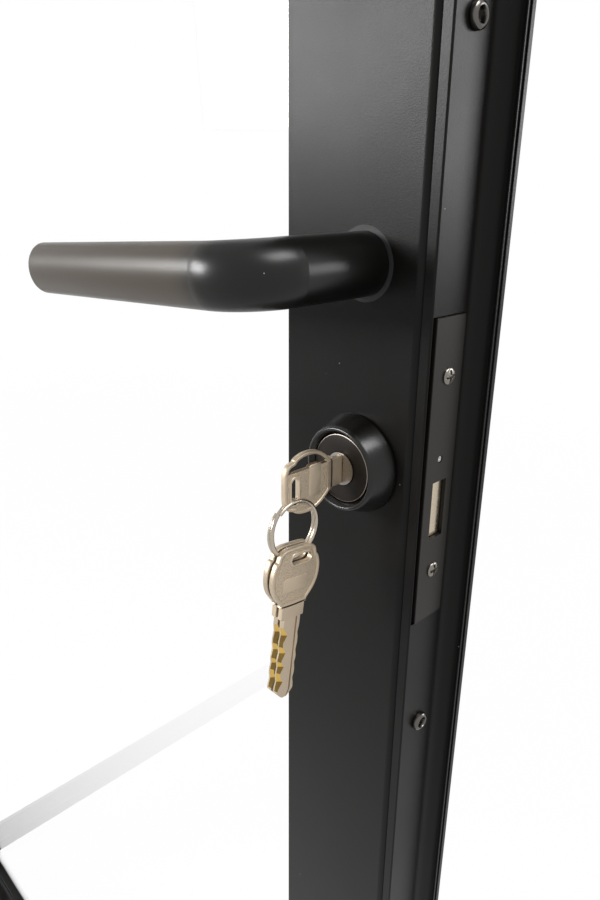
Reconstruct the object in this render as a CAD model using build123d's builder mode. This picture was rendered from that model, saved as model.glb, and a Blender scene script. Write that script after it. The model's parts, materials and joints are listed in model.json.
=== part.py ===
"""Glazed aluminium door set: an outer frame with a low threshold and one glazed leaf.

The frame stands in the XZ plane, X across the opening, Y through the wall and Z up, with its
origin at the middle of its underside. The leaf hangs on the +X jamb and rests open by 90 degrees.
"""
from build123d import *
import math
import os

os.makedirs("parts", exist_ok=True)

# Outer frame
frame_width = 950
frame_height = 2130
frame_depth = 52
jamb_body = 41
stop_projection = 14
frame_wall = 2
frame_round = 0.8
threshold_height = 20
threshold_ramp = 12
threshold_slope = 18
anchor_radius = 4.25
anchor_access_radius = 8
anchor_end_inset = 215
anchor_inset = 15

# Gaps round the shut leaf
edge_gap = 4
seal_gap = 1.2
stop_gap = 4
seal_clearance = 0.3
stop_seal_share = 0.6

# Leaf section, drawn from its edge plane inward and from its push face to its pull face
leaf_depth = 32
member_body = 57.4
member_wall = 2.2
glazing_lip = 13.5
lip_depth = 9
lip_wall = 1.8
flange_overhang = 7.5
flange_thickness = 5
flange_web = 0.6
cove_radius = 6.5
strip_width = 4
strip_setback = 0.3
strip_round = 0.7
shadow_gap = 0.8
shadow_depth = 1.2
shadow_wall = 2.2
face_roll = 2.6
seal_slot_width = 1.8
seal_slot_depth = 3
seal_recess = 0.7
lip_round = 0.5
crest_round = 0.25

# Glazing
glass_thickness = 6
glass_edge_cover = 9.7
glass_share = 0.6
bead_width = 13.4
bead_setback = 0.6
bead_depth = 12
bead_wall = 1.4
bead_round = 1
bead_nib = 1.1
bead_nib_height = 1.2
bead_nib_depth = 9.3
bead_nib_play = 0.1
push_gasket_width = 4.8
pull_gasket_width = 5.4
setting_block_length = 80
setting_block_inset = 150
setting_block_margin = 1

# Corner cleats
cleat_arm = 95
cleat_fit = 0.4
cleat_depth = 12

# Hinges
knuckle_radius = 8
knuckle_gap = 2.4
knuckle_middle = 38
knuckle_outer = 26
knuckle_play = 0.4
axis_stand_off = 3
hinge_pin_radius = 4
hinge_fit = 0.04
hinge_cap_height = 4
hinge_plate = 4
hinge_plate_width = 28
hinge_web = 7
hinge_low_inset = 220
hinge_high_inset = 230

# Lock line
cylinder_height = 1020
backset = 30.6
lever_rise = 75.5

# Faceplate and lock case
plate_top = 60.3
plate_bottom = -60.7
plate_near = 2.4
plate_far = 19.3
plate_thickness = 2.2
plate_proud = 0.8
plate_round = 1
slot_beside_plate = 1.4
case_near = 5.5
case_far = 18.4
case_top = 41.8
case_bottom = -47
case_back = -15.1
case_wall = 1.2
case_fit = 0.3
plate_screw_rise = 39
plate_screw_radius = 2.1
plate_screw_head = 3.9
plate_screw_length = 12
edge_screw_high = 149
edge_screw_low = -114
edge_screw_head = 4.1
edge_screw_head_height = 2.4
edge_screw_length = 8
screw_rim_share = 0.35

# Dead bolt
bolt_top = -1.5
bolt_height = 23
bolt_near = 7.5
bolt_thickness = 7.6
bolt_recess = 0.8
bolt_head_length = 17
bolt_tail_thickness = 4
bolt_tail_gap = 1.5
bolt_fit = 0.3
bolt_round = 0.6
cam_radius = 10.5
cam_pin_radius = 1.5
cam_slot_play = 0.4
cam_thickness = 3
cam_gap = 0.6
cam_rim = 2.2
cam_boss_share = 0.9
cam_boss_margin = 0.6

# Cylinder
cylinder_radius = 13.6
cylinder_face = 9
cylinder_tongue_end = 13
cylinder_tongue_inner = 9.6
body_to_bolt = 0.4
ring_base_radius = 20
ring_front_radius = 16.5
ring_height = 10.8
ring_rim = 0.8
ring_foot = 1
ring_fit = 0.2
plug_radius = 6.5
plug_face = 9.5
plug_fit = 0.05
plug_end_play = 0.5
set_screw_rise = 7.7
set_screw_depth = 10.5
set_screw_radius = 2.4
set_screw_hole = 1.4
set_screw_gap = 0.1
tongue_margin = 1
keyway_height = 9.4
keyway_width = 2.8
keyway_end_room = 1
plug_end_wall = 1

# Thumb turn on the pull side
turn_shaft_radius = 3
turn_reach = 22
turn_width = 26
turn_thickness = 8
turn_base_radius = 9
turn_base_height = 5

# Levers and their drive
neck_radius = 11.3
grip_reach = 55.6
bend_radius = 17.6
grip_length = 137.5
pull_grip_length = 124
grip_height = 21.8
grip_depth = 15.4
grip_tip_height = 21.3
grip_tip_depth = 16
grip_end_round = 5
grip_droop = 3.8
neck_gap = 0.4
bush_wall = 2
spindle_side = 8
spindle_fit = 0.05
gear_module = 1.4
gear_teeth = 20
pressure_angle = 20
gear_backlash = 0.16
tooth_root = 1.25
gear_thickness = 7
drive_near = 7
rod_thickness = 7
rack_back = 6.2
rod_tip_radius = 3.5
rod_hole_margin = 0.4
rod_tip_length = 60
rod_tip_recess = 1
socket_depth = 20
spindle_end_play = 1
grub_recess = 0.5
rod_turn = 90
drive_wall = 1.6
drive_play = 0.4
guide_height = 16
guide_wall = 2
keeper_thickness = 2
keeper_width = 16
keeper_length = 30
keeper_clearance = 0.6

# Strike
strike_thickness = 1.6
strike_length = 90
strike_width = 20
strike_pocket_play = 1
strike_screw_rise = 34

# Keys
key_thickness = 2.4
bow_length = 23.3
bow_width = 24
bow_round = 8
bow_rim = 1.6
bow_field_depth = 0.35
key_neck_length = 6.2
key_neck_width = 11.4
blade_length = 35.2
blade_width = 8.6
blade_thickness = 2.3
blade_tip = 3
blade_groove_width = 2.6
blade_groove_depth = 0.5
key_slot_width = 3.8
key_slot_low = -7.1
key_slot_high = 3.2
key_slot_margin = 3.3
ring_radius = 11.3
wire_radius = 0.85
wire_pitch = 1.2
ring_seat = 0.4
spare_spacing = 1.75
spare_tilt = 7.4
spare_seat = 0.55

# Places worked out from the sizes above
flange_face = leaf_depth - flange_thickness
frame_pull_face = flange_face - seal_gap
rebate_depth = frame_pull_face + stop_gap
leaf_width = frame_width - 2 * (jamb_body + edge_gap)
leaf_bottom = threshold_height + edge_gap
leaf_top = frame_height - jamb_body - edge_gap
axis_from_edge = flange_overhang + knuckle_gap + knuckle_radius
axis_x = frame_width / 2 - jamb_body - edge_gap + axis_from_edge
axis_y = -frame_depth / 2 - (leaf_depth - frame_pull_face) - axis_stand_off
hinge_heights = (hinge_low_inset, frame_height / 2, frame_height - hinge_high_inset)
glass_room = leaf_depth - lip_depth - bead_setback - bead_depth - glass_thickness
glass_front = bead_setback + bead_depth + glass_room * glass_share
glass_back = glass_front + glass_thickness
lock_x = leaf_width - backset
pitch_radius = gear_module * gear_teeth / 2
tooth_pitch = math.pi * gear_module
rod_travel = pitch_radius * math.radians(rod_turn)
rack_root = pitch_radius + tooth_root * gear_module
bolt_middle = bolt_near + bolt_thickness / 2
rod_middle = drive_near + rod_thickness / 2

# The body planes: x along the width, y from the push face to the pull face, z up
FRAME = Plane.XY
axis_depth = leaf_depth + axis_stand_off
LEAF = Plane((axis_x - axis_depth, axis_y - axis_from_edge, 0), x_dir=(0, -1, 0), z_dir=(0, 0, 1))
SHUT = Plane((axis_x - axis_from_edge, axis_y + axis_depth, 0), x_dir=(-1, 0, 0), z_dir=(0, 0, 1))


def moved(base, x=0, y=0, z=0):
    """The same body plane with its origin at a point given in that plane."""
    return Plane(base.from_local_coords((x, y, z)), x_dir=base.x_dir, z_dir=base.z_dir)


def level(base, z=0):
    """Plan of a body at a height: u along its width, v through its depth."""
    return moved(base, z=z)


def front(base, y=0):
    """Elevation at a depth: u along the width, v up, facing the push side."""
    return Plane(base.from_local_coords((0, y, 0)), x_dir=base.x_dir, z_dir=-base.y_dir)


def back(base, y=0):
    """Elevation at a depth, facing the pull side: u runs against the width."""
    return Plane(base.from_local_coords((0, y, 0)), x_dir=-base.x_dir, z_dir=base.y_dir)


def side(base, x=0):
    """Edge view: u through the depth, v up, facing the lock edge."""
    return Plane(base.from_local_coords((x, 0, 0)), x_dir=base.y_dir, z_dir=base.x_dir)


LOCK = moved(LEAF, x=lock_x, z=cylinder_height)
LEVER = moved(LOCK, z=lever_rise)
STRIKE = moved(SHUT, x=lock_x, z=cylinder_height)


def box_between(u_low, u_high, v_low, v_high, mode=Mode.ADD):
    """A rectangle from its limits."""
    with Locations(((u_low + u_high) / 2, (v_low + v_high) / 2)):
        Rectangle(u_high - u_low, v_high - v_low, mode=mode)


def closed_outline(points):
    """A face inside a closed run of straight lines."""
    with BuildLine() as run:
        Polyline(*points, close=True)
    make_face(run.edges())


def half_plane(spot):
    """The plane a turned piece's half profile is drawn in: u outward, v along the spot's normal."""
    return Plane(spot.origin, x_dir=spot.x_dir, z_dir=-spot.y_dir)


def save(part, name):
    """Name one finished piece and write it."""
    part.part.label = name
    export_step(part.part, f"parts/{name}.step")


def surround_bar(base, start, end, section, mitred=(True, True)):
    """One side of a rectangular surround, its section drawn inward from its outer line."""
    begin = base.from_local_coords((start[0], 0, start[1]))
    finish = base.from_local_coords((end[0], 0, end[1]))
    run = (finish - begin).normalized()
    inward = base.y_dir.cross(run)
    overrun = 2 * flange_overhang
    first = begin - run * (overrun if mitred[0] else 0)
    last = finish + run * (overrun if mitred[1] else 0)
    with BuildSketch(Plane(first, x_dir=inward, z_dir=run)) as profile:
        section()
    extrude(profile.sketch, amount=(last - first).length)
    if mitred[0]:
        split(bisect_by=Plane(begin, x_dir=base.y_dir, z_dir=run - inward), keep=Keep.TOP)
    if mitred[1]:
        split(bisect_by=Plane(finish, x_dir=base.y_dir, z_dir=-run - inward), keep=Keep.TOP)


def round_corners(sketch, corners, radius):
    """Round the corners of a profile that lie nearest to the given points."""
    for corner in corners:
        fillet(sketch.vertices().sort_by_distance(corner)[0], radius)


# The frame's jambs and head: one hollow extrusion with a rebate on its pull side
def frame_outline(inset):
    low = -frame_depth / 2
    step = low + rebate_depth
    return (
        (inset, low + inset),
        (jamb_body - inset, low + inset),
        (jamb_body - inset, step + inset),
        (jamb_body + stop_projection - inset, step + inset),
        (jamb_body + stop_projection - inset, -low - inset),
        (inset, -low - inset),
    )


def frame_section():
    with BuildSketch(mode=Mode.PRIVATE) as outer:
        closed_outline(frame_outline(0))
        round_corners(outer, [frame_outline(0)[i] for i in (1, 3, 4)], frame_round)
    add(outer.sketch)
    with BuildSketch(mode=Mode.PRIVATE) as chamber:
        closed_outline(frame_outline(frame_wall))
    add(chamber.sketch, mode=Mode.SUBTRACT)


def anchor_holes(base_x, facing):
    """Stepped holes for the wall anchors, the wide part open to the rebate."""
    hole_y = -frame_depth / 2 + anchor_inset
    anchor_step = (frame_height - 2 * anchor_end_inset) / 3
    for number in range(4):
        place = (base_x, hole_y, anchor_end_inset + number * anchor_step)
        outer = Plane(place, x_dir=(0, 1, 0), z_dir=(facing, 0, 0))
        with BuildSketch(outer) as hole:
            Circle(anchor_radius)
        extrude(hole.sketch, amount=jamb_body + stop_projection, mode=Mode.SUBTRACT)
        with BuildSketch(outer.offset(jamb_body / 2)) as access:
            Circle(anchor_access_radius)
        extrude(access.sketch, amount=jamb_body + stop_projection, mode=Mode.SUBTRACT)


half_width = frame_width / 2
with BuildPart() as jamb_lock:
    surround_bar(FRAME, (-half_width, 0), (-half_width, frame_height), frame_section, (False, True))
    anchor_holes(-half_width, 1)
    with BuildSketch(side(STRIKE, backset + edge_gap)) as strike_seat:
        with Locations((bolt_middle, 0)):
            Rectangle(strike_width + 2 * case_fit, strike_length + 2 * case_fit)
    extrude(strike_seat.sketch, amount=strike_thickness, mode=Mode.SUBTRACT)
    with BuildSketch(side(STRIKE, backset + edge_gap)) as strike_pocket:
        with Locations((bolt_middle, bolt_top - bolt_height / 2)):
            Rectangle(bolt_thickness + 2 * strike_pocket_play, bolt_height + 2 * strike_pocket_play)
    extrude(strike_pocket.sketch, amount=jamb_body / 2, mode=Mode.SUBTRACT)
    with BuildSketch(side(STRIKE, backset + edge_gap)) as strike_holes:
        with Locations((bolt_middle, strike_screw_rise), (bolt_middle, -strike_screw_rise)):
            Circle(plate_screw_radius + plug_fit)
    extrude(strike_holes.sketch, amount=jamb_body / 2, mode=Mode.SUBTRACT)
save(jamb_lock, "jamb_lock")

with BuildPart() as jamb_hinge:
    surround_bar(FRAME, (half_width, frame_height), (half_width, 0), frame_section, (True, False))
    anchor_holes(half_width, -1)
save(jamb_hinge, "jamb_hinge")

upper_rod_x = rack_root + rack_back / 2
with BuildPart() as head:
    surround_bar(FRAME, (-half_width, frame_height), (half_width, frame_height), frame_section)
    with BuildSketch(level(STRIKE, leaf_top - cylinder_height)):
        with Locations((upper_rod_x, rod_middle)):
            Circle(rod_tip_radius + keeper_clearance + rod_hole_margin)
    extrude(amount=jamb_body / 2, mode=Mode.SUBTRACT)
save(head, "head")

# Threshold: a low hollow bar between the jambs, notched round their stops
with BuildPart() as threshold:
    clear_half = half_width - jamb_body
    low = -frame_depth / 2
    with BuildSketch(Plane.YZ.offset(-clear_half)) as bar:
        closed_outline((
            (low, 0),
            (-low, 0),
            (-low, threshold_height - threshold_ramp),
            (-low - threshold_slope, threshold_height),
            (low, threshold_height),
        ))
        round_corners(bar, [(low, threshold_height)], frame_round)
        box_between(low + frame_wall, -low - threshold_slope - threshold_ramp / 2, frame_wall,
                    threshold_height - frame_wall, Mode.SUBTRACT)
    extrude(amount=2 * clear_half)
    with BuildSketch(Plane.XY):
        for sign in (-1, 1):
            with Locations((sign * (clear_half - stop_projection / 2), rebate_depth / 2)):
                Rectangle(stop_projection, -2 * low - rebate_depth)
    extrude(amount=threshold_height, mode=Mode.SUBTRACT)
    with BuildSketch(level(STRIKE, threshold_height - cylinder_height)):
        with Locations((-upper_rod_x, rod_middle)):
            Circle(rod_tip_radius + keeper_clearance + rod_hole_margin)
    extrude(amount=-(threshold_height - frame_wall / 2), mode=Mode.SUBTRACT)
save(threshold, "threshold")

# Cleats that join the frame's mitres, one in each upper corner
with BuildPart() as frame_corner_cleats:
    inner = frame_wall + cleat_fit
    arm = jamb_body - 2 * inner
    for sign in (-1, 1):
        corner_x = sign * (half_width - inner)
        top = frame_height - inner
        with BuildSketch(Plane.XZ.offset(-(frame_depth / 2 - inner))) as angle:
            closed_outline((
                (corner_x, top),
                (corner_x - sign * cleat_arm, top),
                (corner_x - sign * cleat_arm, top - arm),
                (corner_x - sign * arm, top - arm),
                (corner_x - sign * arm, top - cleat_arm),
                (corner_x, top - cleat_arm),
            ))
        extrude(amount=cleat_depth)
save(frame_corner_cleats, "frame_corner_cleats")


# Bulb seal on the stop, round both jambs and the head
def stop_seal_section():
    stop_face = -frame_depth / 2 + rebate_depth
    seal_height = stop_gap - seal_clearance
    middle = jamb_body + stop_projection * stop_seal_share
    foot = seal_height / 3
    box_between(middle - seal_height, middle + seal_height, stop_face - foot, stop_face)
    bulb = (seal_height - foot / 2) / 2
    with Locations((middle, stop_face - seal_height + bulb)):
        Circle(bulb)


with BuildPart() as frame_stop_seal:
    surround_bar(FRAME, (-half_width, threshold_height), (-half_width, frame_height),
                 stop_seal_section, (False, True))
    surround_bar(FRAME, (half_width, frame_height), (half_width, threshold_height),
                 stop_seal_section, (True, False))
save(frame_stop_seal, "frame_stop_seal")

with BuildPart() as head_stop_seal:
    surround_bar(FRAME, (-half_width, frame_height), (half_width, frame_height), stop_seal_section)
save(head_stop_seal, "head_stop_seal")

# Strike plate let into the lock jamb, with its two screws
with BuildPart() as strike_plate:
    with BuildSketch(side(STRIKE, backset + edge_gap)) as plate:
        with Locations((bolt_middle, 0)):
            Rectangle(strike_width, strike_length)
            fillet(plate.vertices(), plate_round)
        with Locations((bolt_middle, bolt_top - bolt_height / 2)):
            Rectangle(bolt_thickness + strike_pocket_play, bolt_height + strike_pocket_play,
                      mode=Mode.SUBTRACT)
        with Locations((bolt_middle, strike_screw_rise), (bolt_middle, -strike_screw_rise)):
            Circle(plate_screw_radius + plug_fit, mode=Mode.SUBTRACT)
    extrude(amount=strike_thickness)
save(strike_plate, "strike_plate")


def pan_screw(face_plane, places, shank, head, head_height, length):
    """Screws with domed heads, standing on a face and running into it."""
    rim = head_height * screw_rim_share
    for place in places:
        spot = Plane(face_plane.from_local_coords((*place, 0)), x_dir=face_plane.x_dir,
                     z_dir=face_plane.z_dir)
        with BuildSketch(half_plane(spot)) as half:
            with BuildLine() as outline:
                dome = head_height - rim
                radius = (head ** 2 + dome ** 2) / (2 * dome)
                middle = math.asin(head / radius) / 2
                Polyline((0, head_height), (0, -length), (shank, -length), (shank, 0), (head, 0),
                         (head, rim))
                ThreePointArc((head, rim),
                              (radius * math.sin(middle),
                               head_height - radius * (1 - math.cos(middle))),
                              (0, head_height))
            make_face(outline.edges())
        revolve(half.sketch, axis=Axis(spot.origin, spot.z_dir))


with BuildPart() as strike_screws:
    strike_face = Plane(side(STRIKE, backset + edge_gap).origin, x_dir=-STRIKE.y_dir,
                        z_dir=-STRIKE.x_dir)
    pan_screw(strike_face, [(-bolt_middle, strike_screw_rise), (-bolt_middle, -strike_screw_rise)],
              plate_screw_radius, plate_screw_head, edge_screw_head_height / 2, plate_screw_length)
save(strike_screws, "strike_screws")

# Keepers for the shoot bolts, in the head and in the threshold
with BuildPart() as keeper_head:
    with BuildSketch(level(STRIKE, leaf_top + edge_gap - cylinder_height)) as plate:
        with Locations((upper_rod_x, rod_middle)):
            Rectangle(keeper_length, keeper_width)
            fillet(plate.vertices(), plate_round)
            Circle(rod_tip_radius + keeper_clearance, mode=Mode.SUBTRACT)
    extrude(amount=-keeper_thickness)
save(keeper_head, "keeper_head")

with BuildPart() as keeper_threshold:
    with BuildSketch(level(STRIKE, threshold_height - cylinder_height)) as plate:
        with Locations((-upper_rod_x, rod_middle)):
            Rectangle(keeper_length, keeper_width)
            fillet(plate.vertices(), plate_round)
            Circle(rod_tip_radius + keeper_clearance, mode=Mode.SUBTRACT)
    extrude(amount=keeper_thickness)
save(keeper_threshold, "keeper_threshold")


# The leaf's stiles and rails: one hollow extrusion, mitred at the corners
def leaf_section():
    groove_end = strip_width + shadow_gap
    slot_low = flange_face + flange_web
    slot_high = slot_low + seal_slot_width
    slot_bottom = -flange_overhang + seal_slot_depth
    with BuildSketch(mode=Mode.PRIVATE) as outer:
        with BuildLine() as run:
            Polyline(
                (groove_end + face_roll, 0),
                (member_body, 0),
                (member_body, leaf_depth - lip_depth),
                (member_body + glazing_lip, leaf_depth - lip_depth),
                (member_body + glazing_lip, leaf_depth),
                (-flange_overhang, leaf_depth),
                (-flange_overhang, slot_high),
                (slot_bottom, slot_high),
                (slot_bottom, slot_low),
                (-flange_overhang, slot_low),
                (-flange_overhang, flange_face),
                (0, flange_face),
                (0, strip_setback),
                (strip_width, strip_setback),
                (strip_width, shadow_depth),
                (groove_end, shadow_depth),
            )
            TangentArc((groove_end + face_roll, 0), (groove_end, shadow_depth), tangent=(-1, 0))
        make_face(run.edges())
        round_corners(outer, [(0, flange_face)], cove_radius)
        round_corners(outer, [(0, strip_setback), (-flange_overhang, leaf_depth)], strip_round)
        round_corners(outer, [(-flange_overhang, flange_face), (-flange_overhang, slot_high)],
                      crest_round)
        round_corners(outer, [(member_body + glazing_lip, leaf_depth - lip_depth),
                              (member_body + glazing_lip, leaf_depth)], lip_round)
    add(outer.sketch)
    chamber_back = leaf_depth - member_wall
    inner_wall = member_body - member_wall
    behind_groove = groove_end + shadow_wall
    box_between(behind_groove, inner_wall, member_wall, chamber_back, Mode.SUBTRACT)
    box_between(member_wall, behind_groove, shadow_depth + shadow_wall, chamber_back, Mode.SUBTRACT)
    box_between(member_body, member_body + glazing_lip - lip_wall,
                leaf_depth - lip_depth + lip_wall, leaf_depth - lip_wall, Mode.SUBTRACT)
    box_between(member_body - bead_nib - bead_nib_play, member_body,
                bead_nib_depth - case_fit, bead_nib_depth + bead_nib_height + case_fit,
                Mode.SUBTRACT)


hinge_foot, hinge_top = (0, leaf_bottom), (0, leaf_top)
lock_top, lock_foot = (leaf_width, leaf_top), (leaf_width, leaf_bottom)
with BuildPart() as stile_hinge:
    surround_bar(LEAF, hinge_foot, hinge_top, leaf_section)
save(stile_hinge, "stile_hinge")

with BuildPart() as rail_top:
    surround_bar(LEAF, hinge_top, lock_top, leaf_section)
    with BuildSketch(level(LOCK, leaf_top - cylinder_height)):
        with Locations((upper_rod_x, rod_middle)):
            Circle(rod_tip_radius + bush_wall)
    extrude(amount=-member_wall, both=True, mode=Mode.SUBTRACT)
save(rail_top, "rail_top")

with BuildPart() as rail_bottom:
    surround_bar(LEAF, lock_foot, hinge_foot, leaf_section)
    with BuildSketch(level(LOCK, leaf_bottom - cylinder_height)):
        with Locations((-upper_rod_x, rod_middle)):
            Circle(rod_tip_radius + bush_wall)
    extrude(amount=member_wall, both=True, mode=Mode.SUBTRACT)
save(rail_bottom, "rail_bottom")

# The lock stile is bored for the cylinder and the levers and pocketed for the faceplate
with BuildPart() as stile_lock:
    surround_bar(LEAF, lock_top, lock_foot, leaf_section)
    with BuildSketch(front(LOCK, leaf_depth)):
        Circle(cylinder_radius + ring_fit)
        with Locations((0, lever_rise)):
            Circle(neck_radius + bush_wall)
    extrude(amount=leaf_depth, mode=Mode.SUBTRACT)
    with BuildSketch(side(LOCK, backset)) as seat:
        box_between(plate_near - slot_beside_plate, plate_far + case_fit,
                    plate_bottom - case_fit, plate_top + case_fit)
        fillet(seat.vertices(), plate_round)
    extrude(amount=-(plate_thickness - plate_proud), mode=Mode.SUBTRACT)
    with BuildSketch(side(LOCK, backset)) as mouth:
        box_between(case_near - case_fit, case_far + case_fit, case_bottom - case_fit,
                    case_top + case_fit)
        box_between(plate_near - slot_beside_plate, plate_near, plate_bottom - case_fit,
                    plate_top + case_fit)
    extrude(amount=-member_wall, mode=Mode.SUBTRACT)
    with BuildSketch(side(LOCK, backset)):
        with Locations((bolt_middle, edge_screw_high), (bolt_middle, edge_screw_low)):
            Circle(plate_screw_radius + plug_fit)
    extrude(amount=-member_wall, mode=Mode.SUBTRACT)
save(stile_lock, "stile_lock")

# Cleats in the leaf's four corners, behind the rods
with BuildPart() as leaf_corner_cleats:
    inner = member_wall + cleat_fit
    arm = member_body - 2 * inner
    corners = ((0, leaf_bottom, 1, 1), (0, leaf_top, 1, -1),
               (leaf_width, leaf_top, -1, -1), (leaf_width, leaf_bottom, -1, 1))
    for corner_x, corner_z, across, up in corners:
        x, z = corner_x + across * inner, corner_z + up * inner
        with BuildSketch(front(LEAF, leaf_depth - inner)):
            closed_outline((
                (x, z),
                (x + across * cleat_arm, z),
                (x + across * cleat_arm, z + up * arm),
                (x + across * arm, z + up * arm),
                (x + across * arm, z + up * cleat_arm),
                (x, z + up * cleat_arm),
            ))
        extrude(amount=cleat_depth)
save(leaf_corner_cleats, "leaf_corner_cleats")


# Rings that run round the leaf: the seal in the flange's edge and the glazing gaskets
def ring_node(name, outer_inset, width, y_low, y_high):
    """A rectangular ring set in from the leaf's edge planes, as one moulded length."""
    middle_z = (leaf_top + leaf_bottom) / 2
    full_width = leaf_width - 2 * outer_inset
    full_height = leaf_top - leaf_bottom - 2 * outer_inset
    with BuildPart() as ring:
        with BuildSketch(front(LEAF, y_high)):
            with Locations((leaf_width / 2, middle_z)):
                Rectangle(full_width, full_height)
                Rectangle(full_width - 2 * width, full_height - 2 * width, mode=Mode.SUBTRACT)
        extrude(amount=y_high - y_low)
    save(ring, name)


ring_node("flange_seal", -(flange_overhang - seal_recess), seal_slot_depth - seal_recess,
          flange_face + flange_web, flange_face + flange_web + seal_slot_width)

# Glass pane with its gaskets and setting blocks
glass_inset = member_body + glazing_lip - glass_edge_cover
middle_z = (leaf_top + leaf_bottom) / 2
with BuildPart() as glass:
    with BuildSketch(front(LEAF, glass_back)):
        with Locations((leaf_width / 2, middle_z)):
            Rectangle(leaf_width - 2 * glass_inset, leaf_top - leaf_bottom - 2 * glass_inset)
    extrude(amount=glass_thickness)
save(glass, "glass")

sight_inset = member_body + glazing_lip
ring_node("gasket_push", sight_inset - push_gasket_width, push_gasket_width,
          bead_setback + bead_depth, glass_front)
ring_node("gasket_pull", sight_inset - pull_gasket_width, pull_gasket_width,
          glass_back, leaf_depth - lip_depth)

with BuildPart() as setting_blocks:
    with BuildSketch(level(LEAF, leaf_bottom + member_body)):
        for x in (setting_block_inset, leaf_width - setting_block_inset):
            with Locations((x, (glass_front + glass_back) / 2)):
                Rectangle(setting_block_length, glass_thickness + setting_block_margin)
    extrude(amount=glass_inset - member_body)
save(setting_blocks, "setting_blocks")


# Glazing beads: hollow clips on the push side, each with a nib in the member's groove
def bead_section():
    near = member_body + glazing_lip - bead_width
    far = near + bead_width
    rear = bead_setback + bead_depth
    with BuildSketch(mode=Mode.PRIVATE) as bead:
        box_between(near, far, bead_setback, rear)
        round_corners(bead, [(far, bead_setback)], bead_round)
        round_corners(bead, [(near, bead_setback)], lip_round)
    add(bead.sketch)
    box_between(near - bead_nib, near, bead_nib_depth, bead_nib_depth + bead_nib_height)
    box_between(near + bead_wall, far - bead_wall, bead_setback + bead_wall, rear - bead_wall,
                Mode.SUBTRACT)


bead_runs = {
    "bead_hinge": (hinge_foot, hinge_top),
    "bead_top": (hinge_top, lock_top),
    "bead_lock": (lock_top, lock_foot),
    "bead_bottom": (lock_foot, hinge_foot),
}
for bead_name, (bead_start, bead_end) in bead_runs.items():
    with BuildPart() as bead:
        surround_bar(LEAF, bead_start, bead_end, bead_section)
    save(bead, bead_name)


# Hinges: a knuckle on the frame between two on the leaf, on a plain pin
def knuckle(height, length):
    """One hinge barrel with its pin bore, standing at a height on the hinge line."""
    with BuildSketch(Plane((axis_x, axis_y, height))) as barrel:
        Circle(knuckle_radius)
    extrude(barrel.sketch, amount=length)


def pin_bore(height, length):
    with BuildSketch(Plane((axis_x, axis_y, height))) as bore:
        Circle(hinge_pin_radius + hinge_fit)
    extrude(bore.sketch, amount=length, mode=Mode.SUBTRACT)


hinge_total = knuckle_middle + 2 * (knuckle_outer + knuckle_play)
for hinge_name, hinge_height in zip(("low", "middle", "high"), hinge_heights):
    start = hinge_height - hinge_total / 2
    middle_start = hinge_height - knuckle_middle / 2
    with BuildPart() as frame_half:
        knuckle(middle_start, knuckle_middle)
        with BuildSketch(Plane((0, 0, middle_start))) as web:
            box_between(axis_x - hinge_web / 2, axis_x + knuckle_radius, axis_y, -frame_depth / 2)
        extrude(web.sketch, amount=knuckle_middle)
        with BuildSketch(Plane((0, 0, start))) as plate:
            box_between(axis_x - hinge_web / 2, half_width - frame_round,
                        -frame_depth / 2 - hinge_plate, -frame_depth / 2)
        extrude(plate.sketch, amount=hinge_total)
        for outer_start in (start, middle_start + knuckle_middle):
            with BuildSketch(Plane((0, 0, outer_start - knuckle_play))) as relief:
                with Locations((axis_x, axis_y)):
                    Circle(knuckle_radius + knuckle_play)
            extrude(relief.sketch, amount=knuckle_outer + 2 * knuckle_play + 0.01,
                    mode=Mode.SUBTRACT)
        pin_bore(start, hinge_total)
    save(frame_half, f"hinge_frame_{hinge_name}")
    with BuildPart() as leaf_half:
        for outer_start in (start, start + hinge_total - knuckle_outer):
            knuckle(outer_start, knuckle_outer)
            with BuildSketch(level(LEAF, outer_start)) as web:
                box_between(-axis_from_edge, 0, leaf_depth, leaf_depth + 2 * axis_stand_off)
            extrude(web.sketch, amount=knuckle_outer)
        with BuildSketch(level(LEAF, start)) as plate:
            box_between(-flange_overhang + lip_round, -flange_overhang + hinge_plate_width,
                        leaf_depth, leaf_depth + hinge_plate)
        extrude(plate.sketch, amount=hinge_total)
        with BuildSketch(Plane((0, 0, middle_start - knuckle_play))) as relief:
            with Locations((axis_x, axis_y)):
                Circle(knuckle_radius + knuckle_play)
        extrude(relief.sketch, amount=knuckle_middle + 2 * knuckle_play, mode=Mode.SUBTRACT)
        pin_bore(start, hinge_total)
    save(leaf_half, f"hinge_leaf_{hinge_name}")

with BuildPart() as hinge_pins:
    for hinge_height in hinge_heights:
        start = hinge_height - hinge_total / 2
        with BuildSketch(Plane((axis_x, axis_y, start))) as shaft:
            Circle(hinge_pin_radius)
        extrude(shaft.sketch, amount=hinge_total)
        for cap_start in (start - hinge_cap_height - knuckle_play, start + hinge_total + knuckle_play):
            with BuildSketch(Plane((axis_x, axis_y, cap_start))) as cap:
                Circle(knuckle_radius)
            extrude(cap.sketch, amount=hinge_cap_height)
        with BuildSketch(Plane((axis_x, axis_y, start - knuckle_play))) as neck:
            Circle(hinge_pin_radius)
        extrude(neck.sketch, amount=hinge_total + 2 * knuckle_play)
save(hinge_pins, "hinge_pins")

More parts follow.
